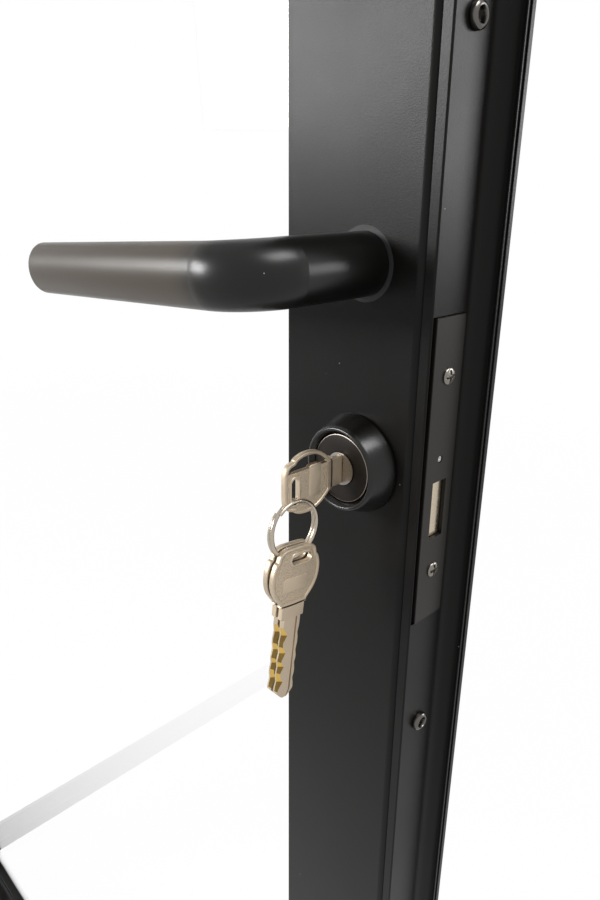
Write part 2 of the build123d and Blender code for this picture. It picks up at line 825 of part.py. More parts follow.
# Lock case: a shallow tray set in the stile, closed by a cover on its pull side
case_front_x = backset - (plate_thickness - plate_proud)
with BuildPart() as lock_case:
    with BuildSketch(front(LOCK, case_far - case_wall)):
        box_between(case_back, case_front_x, case_bottom, case_top)
    extrude(amount=case_far - case_near - case_wall)
    with BuildSketch(front(LOCK, case_far)):
        lug = plate_screw_rise - plate_screw_head
        box_between(case_back + case_wall, case_front_x - case_wall, -lug, lug)
    extrude(amount=case_far - case_near - case_wall, mode=Mode.SUBTRACT)
    with BuildSketch(front(LOCK, case_near + case_wall)):
        Circle(cylinder_radius + ring_fit)
    extrude(amount=2 * case_wall, mode=Mode.SUBTRACT)
    with BuildSketch(side(LOCK, case_front_x)):
        with Locations((bolt_middle, bolt_top - bolt_height / 2)):
            Rectangle(bolt_thickness + 2 * bolt_fit, bolt_height + 2 * bolt_fit)
        with Locations((set_screw_depth, set_screw_rise)):
            Circle(set_screw_radius + plug_fit)
    extrude(amount=-2 * case_wall, mode=Mode.SUBTRACT)
    with BuildSketch(side(LOCK, case_front_x)):
        with Locations((bolt_middle, plate_screw_rise), (bolt_middle, -plate_screw_rise)):
            Circle(plate_screw_radius + plug_fit)
    extrude(amount=-(plate_screw_length + case_wall), mode=Mode.SUBTRACT)
save(lock_case, "lock_case")

with BuildPart() as lock_cover:
    with BuildSketch(front(LOCK, case_far)):
        box_between(case_back, case_front_x, case_bottom, case_top)
        Circle(plug_radius + bolt_fit, mode=Mode.SUBTRACT)
    extrude(amount=case_wall)
save(lock_cover, "lock_cover")

with BuildPart() as faceplate:
    with BuildSketch(side(LOCK, backset + plate_proud)) as plate:
        box_between(plate_near, plate_far, plate_bottom, plate_top)
        fillet(plate.vertices(), plate_round)
        with Locations((bolt_middle, bolt_top - bolt_height / 2)):
            Rectangle(bolt_thickness + 2 * bolt_fit, bolt_height + 2 * bolt_fit, mode=Mode.SUBTRACT)
        with Locations((set_screw_depth, set_screw_rise)):
            Circle(set_screw_hole, mode=Mode.SUBTRACT)
        with Locations((bolt_middle, plate_screw_rise), (bolt_middle, -plate_screw_rise)):
            Circle(plate_screw_radius + plug_fit, mode=Mode.SUBTRACT)
    extrude(amount=-plate_thickness)
    chamfer(faceplate.faces().sort_by(Axis.Y)[0].outer_wire().edges(), plate_proud / 4)
save(faceplate, "faceplate")

edge_face = side(LOCK, backset)
with BuildPart() as faceplate_screws:
    pan_screw(side(LOCK, backset + plate_proud),
              [(bolt_middle, plate_screw_rise), (bolt_middle, -plate_screw_rise)],
              plate_screw_radius, plate_screw_head, edge_screw_head_height / 2, plate_screw_length)
save(faceplate_screws, "faceplate_screws")

with BuildPart() as edge_screws:
    pan_screw(edge_face, [(bolt_middle, edge_screw_high), (bolt_middle, edge_screw_low)],
              plate_screw_radius, edge_screw_head, edge_screw_head_height, edge_screw_length)
save(edge_screws, "edge_screws")

# Dead bolt: a steel head with a thin tail, notched for the cam's pin
bolt_front = backset - bolt_recess
bolt_rear_x = bolt_front - bolt_head_length
pin_swing = math.radians(45)
notch_x = -cam_radius * math.sin(pin_swing)
tail_top = -(plug_radius + bolt_tail_gap)
tail_rear = case_back + case_wall + bolt_fit
with BuildPart() as bolt:
    with BuildSketch(side(LOCK, bolt_front)) as bolt_face:
        with Locations((bolt_middle, bolt_top - bolt_height / 2)):
            Rectangle(bolt_thickness, bolt_height)
            fillet(bolt_face.vertices(), bolt_round)
    extrude(amount=-bolt_head_length)
    with BuildSketch(front(LOCK, bolt_middle + bolt_tail_thickness / 2)):
        box_between(tail_rear, bolt_rear_x, bolt_top - bolt_height, tail_top)
        box_between(notch_x - cam_pin_radius - cam_slot_play, notch_x + cam_pin_radius + cam_slot_play,
                    -(cam_radius + cam_pin_radius + cam_slot_play), tail_top, Mode.SUBTRACT)
    extrude(amount=bolt_tail_thickness)
save(bolt, "bolt")

# Cylinder body with a tongue that the set screw bears on
with BuildPart() as cylinder_body:
    body_end = bolt_near - body_to_bolt
    with BuildSketch(front(LOCK, body_end)):
        Circle(cylinder_radius)
    extrude(amount=body_end + cylinder_face)
    with BuildSketch(front(LOCK, cylinder_tongue_end)):
        Circle(cylinder_radius)
        Circle(cylinder_tongue_inner, mode=Mode.SUBTRACT)
        box_between(-2 * cylinder_radius, 2 * cylinder_radius, -2 * cylinder_radius,
                    set_screw_rise - set_screw_radius - tongue_margin, Mode.SUBTRACT)
    extrude(amount=cylinder_tongue_end - body_end)
    with BuildSketch(front(LOCK, cylinder_tongue_end)):
        Circle(plug_radius + plug_fit)
    extrude(amount=cylinder_tongue_end + cylinder_face, mode=Mode.SUBTRACT)
save(cylinder_body, "cylinder_body")


# Conical ring round the cylinder on each face
def cone_ring(face):
    """A turned ring standing on a face plane, with a thin rim round its recess."""
    with BuildSketch(half_plane(face)) as half:
        with BuildLine() as outline:
            Polyline(
                (cylinder_radius + ring_fit, 0),
                (ring_base_radius, 0),
                (ring_base_radius, ring_foot),
                (ring_front_radius, ring_height),
                (ring_front_radius - 2 * ring_rim, ring_height),
                (cylinder_radius + ring_fit, ring_height - ring_rim),
                close=True,
            )
        make_face(outline.edges())
        fillet(half.vertices().sort_by_distance((ring_front_radius, ring_height))[0], ring_rim)
    revolve(half.sketch, axis=Axis(face.origin, face.z_dir))


with BuildPart() as ring_push:
    cone_ring(front(LOCK, 0))
save(ring_push, "ring_push")

with BuildPart() as ring_pull:
    cone_ring(back(LOCK, leaf_depth))
save(ring_pull, "ring_pull")

with BuildPart() as set_screw:
    tip_x = math.sqrt(cylinder_radius ** 2 - (set_screw_rise - set_screw_radius) ** 2) + case_fit
    head_x = case_front_x - set_screw_gap
    with BuildSketch(side(LOCK, head_x)):
        with Locations((set_screw_depth, set_screw_rise)):
            Circle(set_screw_radius)
    extrude(amount=-(head_x - tip_x))
    with BuildSketch(side(LOCK, head_x)):
        with Locations((set_screw_depth, set_screw_rise)):
            RegularPolygon(set_screw_radius / 2, 6)
    extrude(amount=-set_screw_radius, mode=Mode.SUBTRACT)
save(set_screw, "set_screw")

# Plug with its keyway; it turns the cam and the thumb turn
plug_end = blade_length - plug_face + keyway_end_room + plug_end_wall
with BuildPart() as plug:
    with BuildSketch(front(LOCK, plug_end)):
        Circle(plug_radius)
    extrude(amount=plug_end + plug_face)
    with BuildSketch(front(LOCK, plug_end - plug_end_wall)):
        Rectangle(keyway_width, keyway_height)
    extrude(amount=plug_end - plug_end_wall + plug_face, mode=Mode.SUBTRACT)
save(plug, "plug")

cam_near = bolt_middle + bolt_tail_thickness / 2 + cam_gap
with BuildPart() as cam:
    pin_x, pin_z = notch_x, -cam_radius * math.cos(pin_swing)
    with BuildSketch(front(LOCK, cam_near + cam_thickness)):
        Circle(plug_radius + cam_rim)
        with Locations((pin_x * cam_boss_share, pin_z * cam_boss_share)):
            Circle(cam_pin_radius + cam_boss_margin)
        with Locations((pin_x, pin_z)):
            Circle(cam_pin_radius)
        Circle(plug_radius + plug_fit, mode=Mode.SUBTRACT)
    extrude(amount=cam_thickness)
    with BuildSketch(front(LOCK, cam_near)):
        with Locations((pin_x, pin_z)):
            Circle(cam_pin_radius)
    extrude(amount=bolt_tail_thickness + cam_gap)
save(cam, "cam")

# Housing and thumb turn on the pull side
with BuildPart() as turn_housing:
    housing_end = leaf_depth + cylinder_face
    with BuildSketch(front(LOCK, housing_end)):
        Circle(cylinder_radius)
    extrude(amount=housing_end - case_far - case_fit)
    with BuildSketch(front(LOCK, plug_end + plug_end_play)):
        Circle(plug_radius + plug_fit)
    extrude(amount=plug_end + plug_end_play - case_far, mode=Mode.SUBTRACT)
    with BuildSketch(front(LOCK, housing_end)):
        Circle(turn_shaft_radius + plug_fit)
    extrude(amount=housing_end - case_far, mode=Mode.SUBTRACT)
save(turn_housing, "turn_housing")

with BuildPart() as thumb_turn:
    base_start = leaf_depth + ring_height + neck_gap
    with BuildSketch(front(LOCK, base_start)):
        Circle(turn_shaft_radius)
    extrude(amount=base_start - plug_end)
    with BuildSketch(front(LOCK, base_start + turn_base_height)):
        Circle(turn_base_radius)
    extrude(amount=turn_base_height)
    with BuildSketch(level(LOCK, -turn_width / 2)) as blade:
        box_between(-turn_thickness / 2, turn_thickness / 2, base_start, base_start + turn_reach)
        fillet(blade.vertices(), turn_thickness / 4)
    extrude(amount=turn_width)
    fillet(thumb_turn.edges().filter_by(GeomType.LINE).filter_by(
        lambda edge: abs(edge.length - (turn_thickness / 2)) < 0.01), turn_thickness / 6)
save(thumb_turn, "thumb_turn")


# Lever handles: a round neck, one bend and a flattened grip that hangs a little
def lever_handle(base, outward, face, length):
    """One lever, built in the plane of its neck axis and its grip."""
    droop = math.radians(grip_droop)
    along = (base.x_dir * -math.cos(droop) + base.z_dir * -math.sin(droop)).normalized()
    origin = base.from_local_coords((0, face, 0))
    across = along.cross(-base.y_dir)

    def station(reach, run, normal):
        place = origin + outward * reach + along * run
        return Plane(place, x_dir=across, z_dir=normal)

    straight = grip_reach - bend_radius
    turn = math.radians(45)
    mid_reach = straight + bend_radius * math.sin(turn)
    mid_run = bend_radius * (1 - math.cos(turn))
    with BuildLine() as bend:
        ThreePointArc(origin + outward * straight,
                      origin + outward * mid_reach + along * mid_run,
                      origin + outward * grip_reach + along * bend_radius)
    with BuildSketch(station(neck_gap, 0, outward)) as neck_end:
        Circle(neck_radius)
    extrude(neck_end.sketch, amount=straight - neck_gap)
    with BuildSketch(station(straight, 0, outward)) as bend_start:
        Circle(neck_radius)
    with BuildSketch(station(grip_reach, bend_radius, along)) as bend_end:
        Ellipse(grip_height / 2, grip_depth / 2)
    sweep([bend_start.sketch, bend_end.sketch], path=bend.wire(), multisection=True)
    rounds = []
    for step in range(4):
        lean = math.radians(30 * step)
        shrink = grip_end_round * (1 - math.cos(lean))
        run = length - grip_end_round * (1 - math.sin(lean))
        with BuildSketch(station(grip_reach, run, along)) as tip:
            Ellipse(grip_tip_height / 2 - shrink, grip_tip_depth / 2 - shrink)
        rounds.append(tip.sketch)
    loft([bend_end.sketch, rounds[0]], ruled=True)
    loft(rounds)


def spindle_socket(near, far, grub_y):
    """Square socket for the spindle and the grub screw's hole from below."""
    with BuildSketch(front(LEVER, far)) as socket:
        Rectangle(spindle_side + 2 * spindle_fit, spindle_side + 2 * spindle_fit)
    extrude(socket.sketch, amount=far - near, mode=Mode.SUBTRACT)
    with BuildSketch(level(moved(LEVER, y=grub_y), -2 * neck_radius)) as grub:
        Circle(set_screw_radius + spindle_fit)
    extrude(grub.sketch, amount=2 * neck_radius, mode=Mode.SUBTRACT)


with BuildPart() as lever_push:
    lever_handle(LEVER, -LEVER.y_dir, 0, grip_length)
    with BuildSketch(front(LEVER, drive_near - drive_wall)) as hub:
        Circle(neck_radius)
    extrude(hub.sketch, amount=drive_near - drive_wall + neck_gap)
    spindle_socket(-socket_depth, drive_near, -socket_depth / 2)
save(lever_push, "lever_push")

drive_far = drive_near + gear_thickness
with BuildPart() as lever_pull:
    lever_handle(LEVER, LEVER.y_dir, leaf_depth, pull_grip_length)
    hub_start = drive_far + drive_wall
    with BuildSketch(front(LEVER, leaf_depth + neck_gap)) as hub:
        Circle(neck_radius)
    extrude(hub.sketch, amount=leaf_depth + neck_gap - hub_start)
    spindle_socket(hub_start, leaf_depth + socket_depth, leaf_depth + socket_depth / 2)
save(lever_pull, "lever_pull")

with BuildPart() as spindle:
    with BuildSketch(front(LEVER, leaf_depth + socket_depth - spindle_end_play)):
        Rectangle(spindle_side, spindle_side)
    extrude(amount=leaf_depth + 2 * (socket_depth - spindle_end_play))
save(spindle, "spindle")


# Rack and pinion drive: involute pinion on the spindle, straight-flanked racks on the rods
def pinion_outline():
    """Corner points of the toothed wheel, each flank a short run along its involute."""
    angle = math.radians(pressure_angle)
    base_radius = pitch_radius * math.cos(angle)
    tip_radius = pitch_radius + gear_module
    root_radius = pitch_radius - tooth_root * gear_module
    half_tooth = (tooth_pitch / 2 - gear_backlash) / 2 / pitch_radius
    rolled = math.tan(angle) - angle
    flank = []
    for radius in (base_radius, (base_radius + pitch_radius) / 2, pitch_radius,
                   (pitch_radius + tip_radius) / 2, tip_radius):
        lean = math.acos(min(1, base_radius / radius))
        flank.append((radius, half_tooth + rolled - (math.tan(lean) - lean)))
    points = []
    for tooth in range(gear_teeth):
        centre = 2 * math.pi * tooth / gear_teeth
        rising = [(root_radius, flank[0][1])] + flank
        for radius, half in rising:
            points.append((radius * math.cos(centre - half), radius * math.sin(centre - half)))
        for radius, half in reversed(rising):
            points.append((radius * math.cos(centre + half), radius * math.sin(centre + half)))
    return points


with BuildPart() as pinion:
    with BuildSketch(front(LEVER, drive_far)):
        closed_outline(pinion_outline())
        Rectangle(spindle_side + 2 * spindle_fit, spindle_side + 2 * spindle_fit,
                  mode=Mode.SUBTRACT)
    extrude(amount=gear_thickness)
save(pinion, "pinion")


def rod_bar(towards, travel_low, travel_high, plain_end, tip_end):
    """A rod with rack teeth beside the pinion, a plain flat run and a round end."""
    slope = math.tan(math.radians(pressure_angle))
    tip_x = pitch_radius - gear_module
    half_at_pitch = (tooth_pitch / 2 - gear_backlash) / 2
    half_tip = half_at_pitch - gear_module * slope
    half_root = half_at_pitch + tooth_root * gear_module * slope
    outer = rack_root + rack_back
    first = math.floor(travel_low / tooth_pitch)
    last = math.ceil(travel_high / tooth_pitch)
    teeth = []
    for number in range(first, last):
        centre = (number + 0.5) * tooth_pitch
        teeth += [(rack_root, centre - half_root), (tip_x, centre - half_tip),
                  (tip_x, centre + half_tip), (rack_root, centre + half_root)]
    low = min(first * tooth_pitch, plain_end)
    high = max(last * tooth_pitch, plain_end)
    points = [(rack_root, low)] + teeth + [(rack_root, high), (outer, high), (outer, low)]
    with BuildSketch(front(LEVER, drive_near + rod_thickness)) as bar:
        closed_outline([(towards * u, v) for u, v in points])
    extrude(bar.sketch, amount=rod_thickness)
    with BuildSketch(level(moved(LEVER, x=towards * upper_rod_x, y=rod_middle), plain_end)) as end:
        Circle(rod_tip_radius)
    extrude(end.sketch, amount=tip_end - plain_end)


lever_z = cylinder_height + lever_rise
reach_up = leaf_top - lever_z - rod_tip_recess
reach_down = leaf_bottom - lever_z + rod_tip_recess
mesh = 2 * tooth_pitch
with BuildPart() as rod_upper:
    rod_bar(1, -rod_travel - mesh, mesh, reach_up - rod_tip_length, reach_up)
save(rod_upper, "rod_upper")

with BuildPart() as rod_lower:
    rod_bar(-1, -mesh, rod_travel + mesh, reach_down + rod_tip_length, reach_down)
save(rod_lower, "rod_lower")

# Drive case: an open tray behind the push wall that keeps the racks against the pinion
rack_outer = rack_root + rack_back
with BuildPart() as drive_case:
    tray_high = rod_travel + mesh + 2 * drive_play
    tray_low = -tray_high
    tray_half = rack_outer + drive_play + drive_wall
    tray_back = drive_far + drive_play
    with BuildSketch(front(LEVER, tray_back)):
        box_between(-tray_half, tray_half, tray_low, tray_high)
    extrude(amount=tray_back - drive_near + drive_wall + drive_play)
    with BuildSketch(front(LEVER, tray_back)):
        box_between(-rack_outer - drive_play, rack_outer + drive_play, tray_low, tray_high)
    extrude(amount=tray_back - drive_near + drive_play, mode=Mode.SUBTRACT)
    with BuildSketch(front(LEVER, tray_back)):
        Circle(neck_radius + drive_play)
    extrude(amount=2 * tray_back, mode=Mode.SUBTRACT)
save(drive_case, "drive_case")

# Nylon bushes that carry the lever necks in the two faces of the stile
with BuildPart() as lever_bushes:
    for face_plane in (front(LEVER, 0), back(LEVER, leaf_depth)):
        inner = Plane(face_plane.origin - face_plane.z_dir * member_wall, x_dir=face_plane.x_dir,
                      z_dir=face_plane.z_dir)
        with BuildSketch(inner):
            Circle(neck_radius + bush_wall)
            Circle(neck_radius + hinge_fit, mode=Mode.SUBTRACT)
        extrude(amount=member_wall)
save(lever_bushes, "lever_bushes")

# Nylon guides for the rods: blocks behind the edge screws and bushes at the leaf's ends
with BuildPart() as rod_guides:
    chamber_edge = backset - member_wall
    for height, sign in ((edge_screw_high, 1), (edge_screw_low, -1)):
        rod_x = sign * upper_rod_x
        with BuildSketch(level(LOCK, height - guide_height / 2)):
            block_low = rod_x - rack_back / 2 - guide_wall
            box_between(block_low, chamber_edge, drive_near - drive_play - guide_wall / 2,
                        drive_near + rod_thickness + guide_wall)
            box_between(rod_x - rack_back / 2 - drive_play, rod_x + rack_back / 2 + drive_play,
                        drive_near - drive_play, drive_near + rod_thickness + drive_play,
                        Mode.SUBTRACT)
        extrude(amount=guide_height)
        with BuildSketch(side(LOCK, chamber_edge)):
            with Locations((bolt_middle, height)):
                Circle(plate_screw_radius + plug_fit)
        extrude(amount=-edge_screw_length, mode=Mode.SUBTRACT)
    for height, sign in ((leaf_top - member_wall, 1), (leaf_bottom, -1)):
        with BuildSketch(level(LOCK, height - cylinder_height)):
            with Locations((sign * upper_rod_x, rod_middle)):
                Circle(rod_tip_radius + bush_wall)
                Circle(rod_tip_radius + hinge_fit, mode=Mode.SUBTRACT)
        extrude(amount=member_wall)
save(rod_guides, "rod_guides")

# Grub screws under the lever necks
with BuildPart() as grub_screws:
    for plane_y in (-socket_depth / 2, leaf_depth + socket_depth / 2):
        with BuildSketch(level(moved(LEVER, y=plane_y), -(neck_radius - grub_recess))):
            Circle(set_screw_radius)
        extrude(amount=neck_radius - grub_recess - spindle_side / 2 - set_screw_gap)
save(grub_screws, "grub_screws")


# Keys: a bow with a raised rim and a slot, a short neck and a grooved blade
def key_piece(tip_plane):
    """One key. The plane's x runs from the shoulder to the bow, its y across the bow."""
    with BuildSketch(tip_plane) as bow:
        with Locations((key_neck_length + bow_length / 2, 0)):
            Rectangle(bow_length, bow_width)
            fillet(bow.vertices(), bow_round)
    extrude(bow.sketch, amount=key_thickness / 2, both=True)
    with BuildSketch(tip_plane) as neck:
        with Locations(((key_neck_length + 1) / 2, 0)):
            Rectangle(key_neck_length + 1, key_neck_width)
    extrude(neck.sketch, amount=key_thickness / 2, both=True)
    with BuildSketch(tip_plane) as blade:
        closed_outline((
            (0, -blade_width / 2),
            (-blade_length + blade_tip, -blade_width / 2),
            (-blade_length, -blade_width / 6),
            (-blade_length, blade_width / 6),
            (-blade_length + blade_tip, blade_width / 2),
            (0, blade_width / 2),
        ))
    extrude(blade.sketch, amount=blade_thickness / 2, both=True)
    for sign in (-1, 1):
        with BuildSketch(tip_plane.offset(sign * key_thickness / 2)) as field:
            with Locations((key_neck_length + bow_length / 2, 0)):
                Rectangle(bow_length - 2 * bow_rim, bow_width - 2 * bow_rim)
                fillet(field.vertices(), bow_round - bow_rim)
        extrude(field.sketch, amount=-sign * bow_field_depth, mode=Mode.SUBTRACT)
        with BuildSketch(tip_plane.offset(sign * blade_thickness / 2)) as groove:
            with Locations((-blade_length / 2 + blade_tip / 2, 0)):
                Rectangle(blade_length - 2 * blade_tip, blade_groove_width)
        extrude(groove.sketch, amount=-sign * blade_groove_depth, mode=Mode.SUBTRACT)
    slot_x = key_neck_length + bow_length - key_slot_margin - key_slot_width / 2
    with BuildSketch(tip_plane) as slot:
        with Locations((slot_x, (key_slot_low + key_slot_high) / 2)):
            SlotOverall(key_slot_high - key_slot_low, key_slot_width, rotation=90)
    extrude(slot.sketch, amount=key_thickness, both=True, mode=Mode.SUBTRACT)


slot_from_shoulder = key_neck_length + bow_length - key_slot_margin - key_slot_width / 2
shoulder_y = -plug_face - plug_fit
with BuildPart() as key:
    key_piece(Plane(LOCK.from_local_coords((0, shoulder_y, 0)), x_dir=-LOCK.y_dir,
                    z_dir=-LOCK.x_dir))
save(key, "key")

ring_top_y = shoulder_y - slot_from_shoulder
ring_top_z = key_slot_low + ring_seat + wire_radius
ring_centre = LOCK.from_local_coords((0, ring_top_y, ring_top_z - ring_radius))
with BuildPart() as key_ring:
    with BuildSketch(Plane(ring_centre, x_dir=LOCK.z_dir, z_dir=LOCK.x_dir)):
        with Locations((ring_radius, wire_pitch / 2), (ring_radius, -wire_pitch / 2)):
            Circle(wire_radius)
    revolve(axis=Axis(ring_centre, LOCK.y_dir))
save(key_ring, "key_ring")

# Two spare keys hang from the bottom of the ring, side by side
spare_slot_rise = key_slot_width / 2 - wire_radius - spare_seat
hang_rise = ring_radius - math.sqrt(ring_radius ** 2 - spare_spacing ** 2)
hang_z = ring_top_z - 2 * ring_radius + hang_rise
for spare_name, spare_side in (("spare_key_near", 1), ("spare_key_far", -1)):
    tilt = math.radians(spare_tilt)
    upward = LOCK.y_dir * math.sin(tilt) + LOCK.z_dir * math.cos(tilt)
    wire = LOCK.from_local_coords((spare_side * spare_spacing, ring_top_y, hang_z))
    shoulder = wire - upward * (slot_from_shoulder + spare_slot_rise)
    with BuildPart() as spare:
        key_piece(Plane(shoulder, x_dir=upward, z_dir=LOCK.x_dir))
    save(spare, spare_name)
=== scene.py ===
import bpy
import bmesh
import json
import math
from mathutils import Matrix, Vector


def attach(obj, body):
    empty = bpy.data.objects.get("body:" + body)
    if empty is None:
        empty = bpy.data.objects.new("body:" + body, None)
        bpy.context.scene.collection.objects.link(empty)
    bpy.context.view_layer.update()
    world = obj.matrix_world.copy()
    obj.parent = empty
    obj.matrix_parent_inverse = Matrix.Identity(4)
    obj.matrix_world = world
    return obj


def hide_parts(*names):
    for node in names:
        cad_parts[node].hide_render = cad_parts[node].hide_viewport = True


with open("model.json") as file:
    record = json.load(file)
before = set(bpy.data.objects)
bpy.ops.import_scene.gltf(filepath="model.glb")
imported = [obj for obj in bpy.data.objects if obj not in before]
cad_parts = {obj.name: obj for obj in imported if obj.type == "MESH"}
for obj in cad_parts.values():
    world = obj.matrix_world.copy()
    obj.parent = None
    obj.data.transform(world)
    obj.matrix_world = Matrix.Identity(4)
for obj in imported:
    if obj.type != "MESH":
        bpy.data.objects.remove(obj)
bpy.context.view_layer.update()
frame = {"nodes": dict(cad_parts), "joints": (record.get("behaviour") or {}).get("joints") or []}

# Camera. It stands on the push side, a forearm away from the lock stile of the open leaf,
# a little above the key and turned towards the hinges.
cad = frame["nodes"]
joint_at = {joint["name"]: joint.get("pos_m") for joint in frame["joints"]}
key_axis = Vector(joint_at["key_turn"])
lever_axis = Vector(joint_at["lever_turn"])
stand = Vector((-0.1929, -0.1684, 0.1040))
forward = Vector((0.6465, 0.6716, -0.3618)).normalized()
level_right = Vector((0.7204, -0.6935, 0)).normalized()
roll = math.radians(0.36)
focal_length = 28.13
upright = level_right.cross(forward)
camera_right = level_right * math.cos(roll) + upright * math.sin(roll)
camera_up = upright * math.cos(roll) - level_right * math.sin(roll)
lens = bpy.data.cameras.new("photo_lens")
lens.lens = focal_length
lens.sensor_width = 36
lens.clip_start = 0.02
camera = bpy.data.objects.new("photo_camera", lens)
bpy.context.scene.collection.objects.link(camera)
camera.matrix_world = Matrix.Translation(key_axis + stand) @ Matrix(
    (camera_right, camera_up, -forward)).transposed().to_4x4()
bpy.context.scene.camera = camera


# Outer frame: black powder-coated aluminium jambs and head, mitred and cleated at the corners,
# with a threshold bar between the jambs. The coat is baked on and has a fine, even orange peel.
def new_material(name):
    """An empty material with its shader, and a maker of further nodes."""
    material = bpy.data.materials.new(name)
    material.use_nodes = True
    tree = material.node_tree
    shader = tree.nodes["Principled BSDF"]

    def node(kind, **settings):
        made = tree.nodes.new(kind)
        for key, value in settings.items():
            if key in made.inputs:
                made.inputs[key].default_value = value
            else:
                setattr(made, key, value)
        return made

    return material, tree.links.new, shader, node


middle_from, middle_to = 0.3, 0.7
dust_colour = (0.42, 0.41, 0.38, 1)


def graded(node, link, source, low, high):
    """A number that runs from low to high as the source runs over its middle."""
    ramp = node("ShaderNodeMapRange")
    ramp.inputs["From Min"].default_value = middle_from
    ramp.inputs["From Max"].default_value = middle_to
    ramp.inputs["To Min"].default_value = low
    ramp.inputs["To Max"].default_value = high
    link(source, ramp.inputs["Value"])
    return ramp.outputs["Result"]


def toned(node, link, factor, dark, light):
    """A colour between two tones."""
    mix = node("ShaderNodeMix", data_type="RGBA")
    mix.inputs[6].default_value = (*dark, 1)
    mix.inputs[7].default_value = (*light, 1)
    link(factor, mix.inputs[0])
    return mix.outputs[2]


def powder_coat(name, colour, roughness, specular, grain, depth, dust=0.02):
    """Baked coat: fine grain in relief, slow drift in gloss, and a few specks of dust."""
    material, link, shader, node = new_material(name)
    place = node("ShaderNodeTexCoord").outputs["Object"]
    fine = node("ShaderNodeTexNoise", Scale=1 / grain, Detail=3, Roughness=0.6)
    slow = node("ShaderNodeTexNoise", Scale=16, Detail=4, Roughness=0.55)
    for noise in (fine, slow):
        link(place, noise.inputs["Vector"])
    link(graded(node, link, slow.outputs["Fac"], roughness - 0.04, roughness + 0.04),
         shader.inputs["Roughness"])
    body = toned(node, link, slow.outputs["Fac"], [c * 0.85 for c in colour],
                 [c * 1.15 for c in colour])
    grit = node("ShaderNodeTexVoronoi", Scale=95)
    link(place, grit.inputs["Vector"])
    speck = node("ShaderNodeMath", operation="LESS_THAN")
    speck.inputs[1].default_value = dust
    link(grit.outputs["Distance"], speck.inputs[0])
    dusty = node("ShaderNodeMix", data_type="RGBA")
    dusty.inputs[7].default_value = dust_colour
    link(speck.outputs[0], dusty.inputs[0])
    link(body, dusty.inputs[6])
    link(dusty.outputs[2], shader.inputs["Base Color"])
    relief = node("ShaderNodeBump", Strength=1, Distance=depth)
    link(fine.outputs["Fac"], relief.inputs["Height"])
    link(relief.outputs["Normal"], shader.inputs["Normal"])
    shader.inputs["Specular IOR Level"].default_value = specular
    return material


def finish_nodes(material, *names):
    """Give the carried-over pieces their finish."""
    for name in names:
        for place in cad[name].material_slots:
            place.material = material


frame_coat = powder_coat("frame_powder_coat", (0.008, 0.0075, 0.007), 0.4, 0.14, 0.0006, 0.00004)
finish_nodes(frame_coat, "jamb_lock", "jamb_hinge", "head", "threshold")


def metal(name, colour, roughness, grain=(300, 300, 300), depth=0.000004, tone=0.12):
    """Bare or plated metal with fine tool marks and a little change of tone."""
    material, link, shader, node = new_material(name)
    shader.inputs["Metallic"].default_value = 1
    place = node("ShaderNodeTexCoord").outputs["Object"]
    stretch = node("ShaderNodeMapping")
    stretch.inputs["Scale"].default_value = grain
    link(place, stretch.inputs["Vector"])
    marks = node("ShaderNodeTexNoise", Scale=8, Detail=4, Roughness=0.65)
    link(stretch.outputs[0], marks.inputs["Vector"])
    slow = node("ShaderNodeTexNoise", Scale=110, Detail=3)
    link(place, slow.inputs["Vector"])
    link(graded(node, link, slow.outputs["Fac"], roughness * 0.75, roughness * 1.3),
         shader.inputs["Roughness"])
    link(toned(node, link, slow.outputs["Fac"], [c * (1 - tone) for c in colour], colour),
         shader.inputs["Base Color"])
    relief = node("ShaderNodeBump", Strength=1, Distance=depth)
    link(marks.outputs["Fac"], relief.inputs["Height"])
    link(relief.outputs["Normal"], shader.inputs["Normal"])
    return material


cleat_metal = metal("cast_cleat_aluminium", (0.6, 0.6, 0.6), 0.45)
finish_nodes(cleat_metal, "frame_corner_cleats", "leaf_corner_cleats")

# Hinges: aluminium knuckles in the same coat, screwed to frame and leaf, on zinc-plated pins.
# The strike plate and the two keepers are plated steel, let into the frame.
finish_nodes(frame_coat, "hinge_frame_low", "hinge_frame_middle", "hinge_frame_high")
plated_steel = metal("zinc_plated_steel", (0.55, 0.55, 0.53), 0.32)
finish_nodes(plated_steel, "hinge_pins", "strike_plate", "keeper_head", "keeper_threshold",
             "lock_case", "lock_cover", "drive_case")
screw_metal = metal("bright_screw_steel", (0.74, 0.73, 0.70), 0.22)
finish_nodes(screw_metal, "strike_screws", "set_screw", "grub_screws")


# Leaf: hollow powder-coated stiles and rails, mitred, with snap-in beads on the push side.
# The coat is like the frame's and a little smoother from handling.
leaf_coat = powder_coat("leaf_powder_coat", (0.0045, 0.004, 0.0036), 0.34, 0.13, 0.0005, 0.00005)
finish_nodes(leaf_coat, "stile_lock", "stile_hinge", "rail_top", "rail_bottom", "bead_hinge",
             "bead_top", "bead_lock", "bead_bottom", "hinge_leaf_low", "hinge_leaf_middle",
             "hinge_leaf_high")


# Seals and gaskets: black extruded rubber, pushed into grooves of the frame and the leaf.
# The rod guides, lever bushes and setting blocks are moulded in black nylon.
def soft_black(name, colour, roughness, grain):
    """Dull black rubber or nylon with a faint skin."""
    material, link, shader, node = new_material(name)
    place = node("ShaderNodeTexCoord").outputs["Object"]
    skin = node("ShaderNodeTexNoise", Scale=1 / grain, Detail=4)
    link(place, skin.inputs["Vector"])
    link(graded(node, link, skin.outputs["Fac"], roughness - 0.06, roughness + 0.06),
         shader.inputs["Roughness"])
    link(toned(node, link, skin.outputs["Fac"], [c * 0.8 for c in colour],
               [c * 1.25 for c in colour]), shader.inputs["Base Color"])
    relief = node("ShaderNodeBump", Strength=0.6, Distance=0.00004)
    link(skin.outputs["Fac"], relief.inputs["Height"])
    link(relief.outputs["Normal"], shader.inputs["Normal"])
    shader.inputs["Specular IOR Level"].default_value = 0.25
    return material


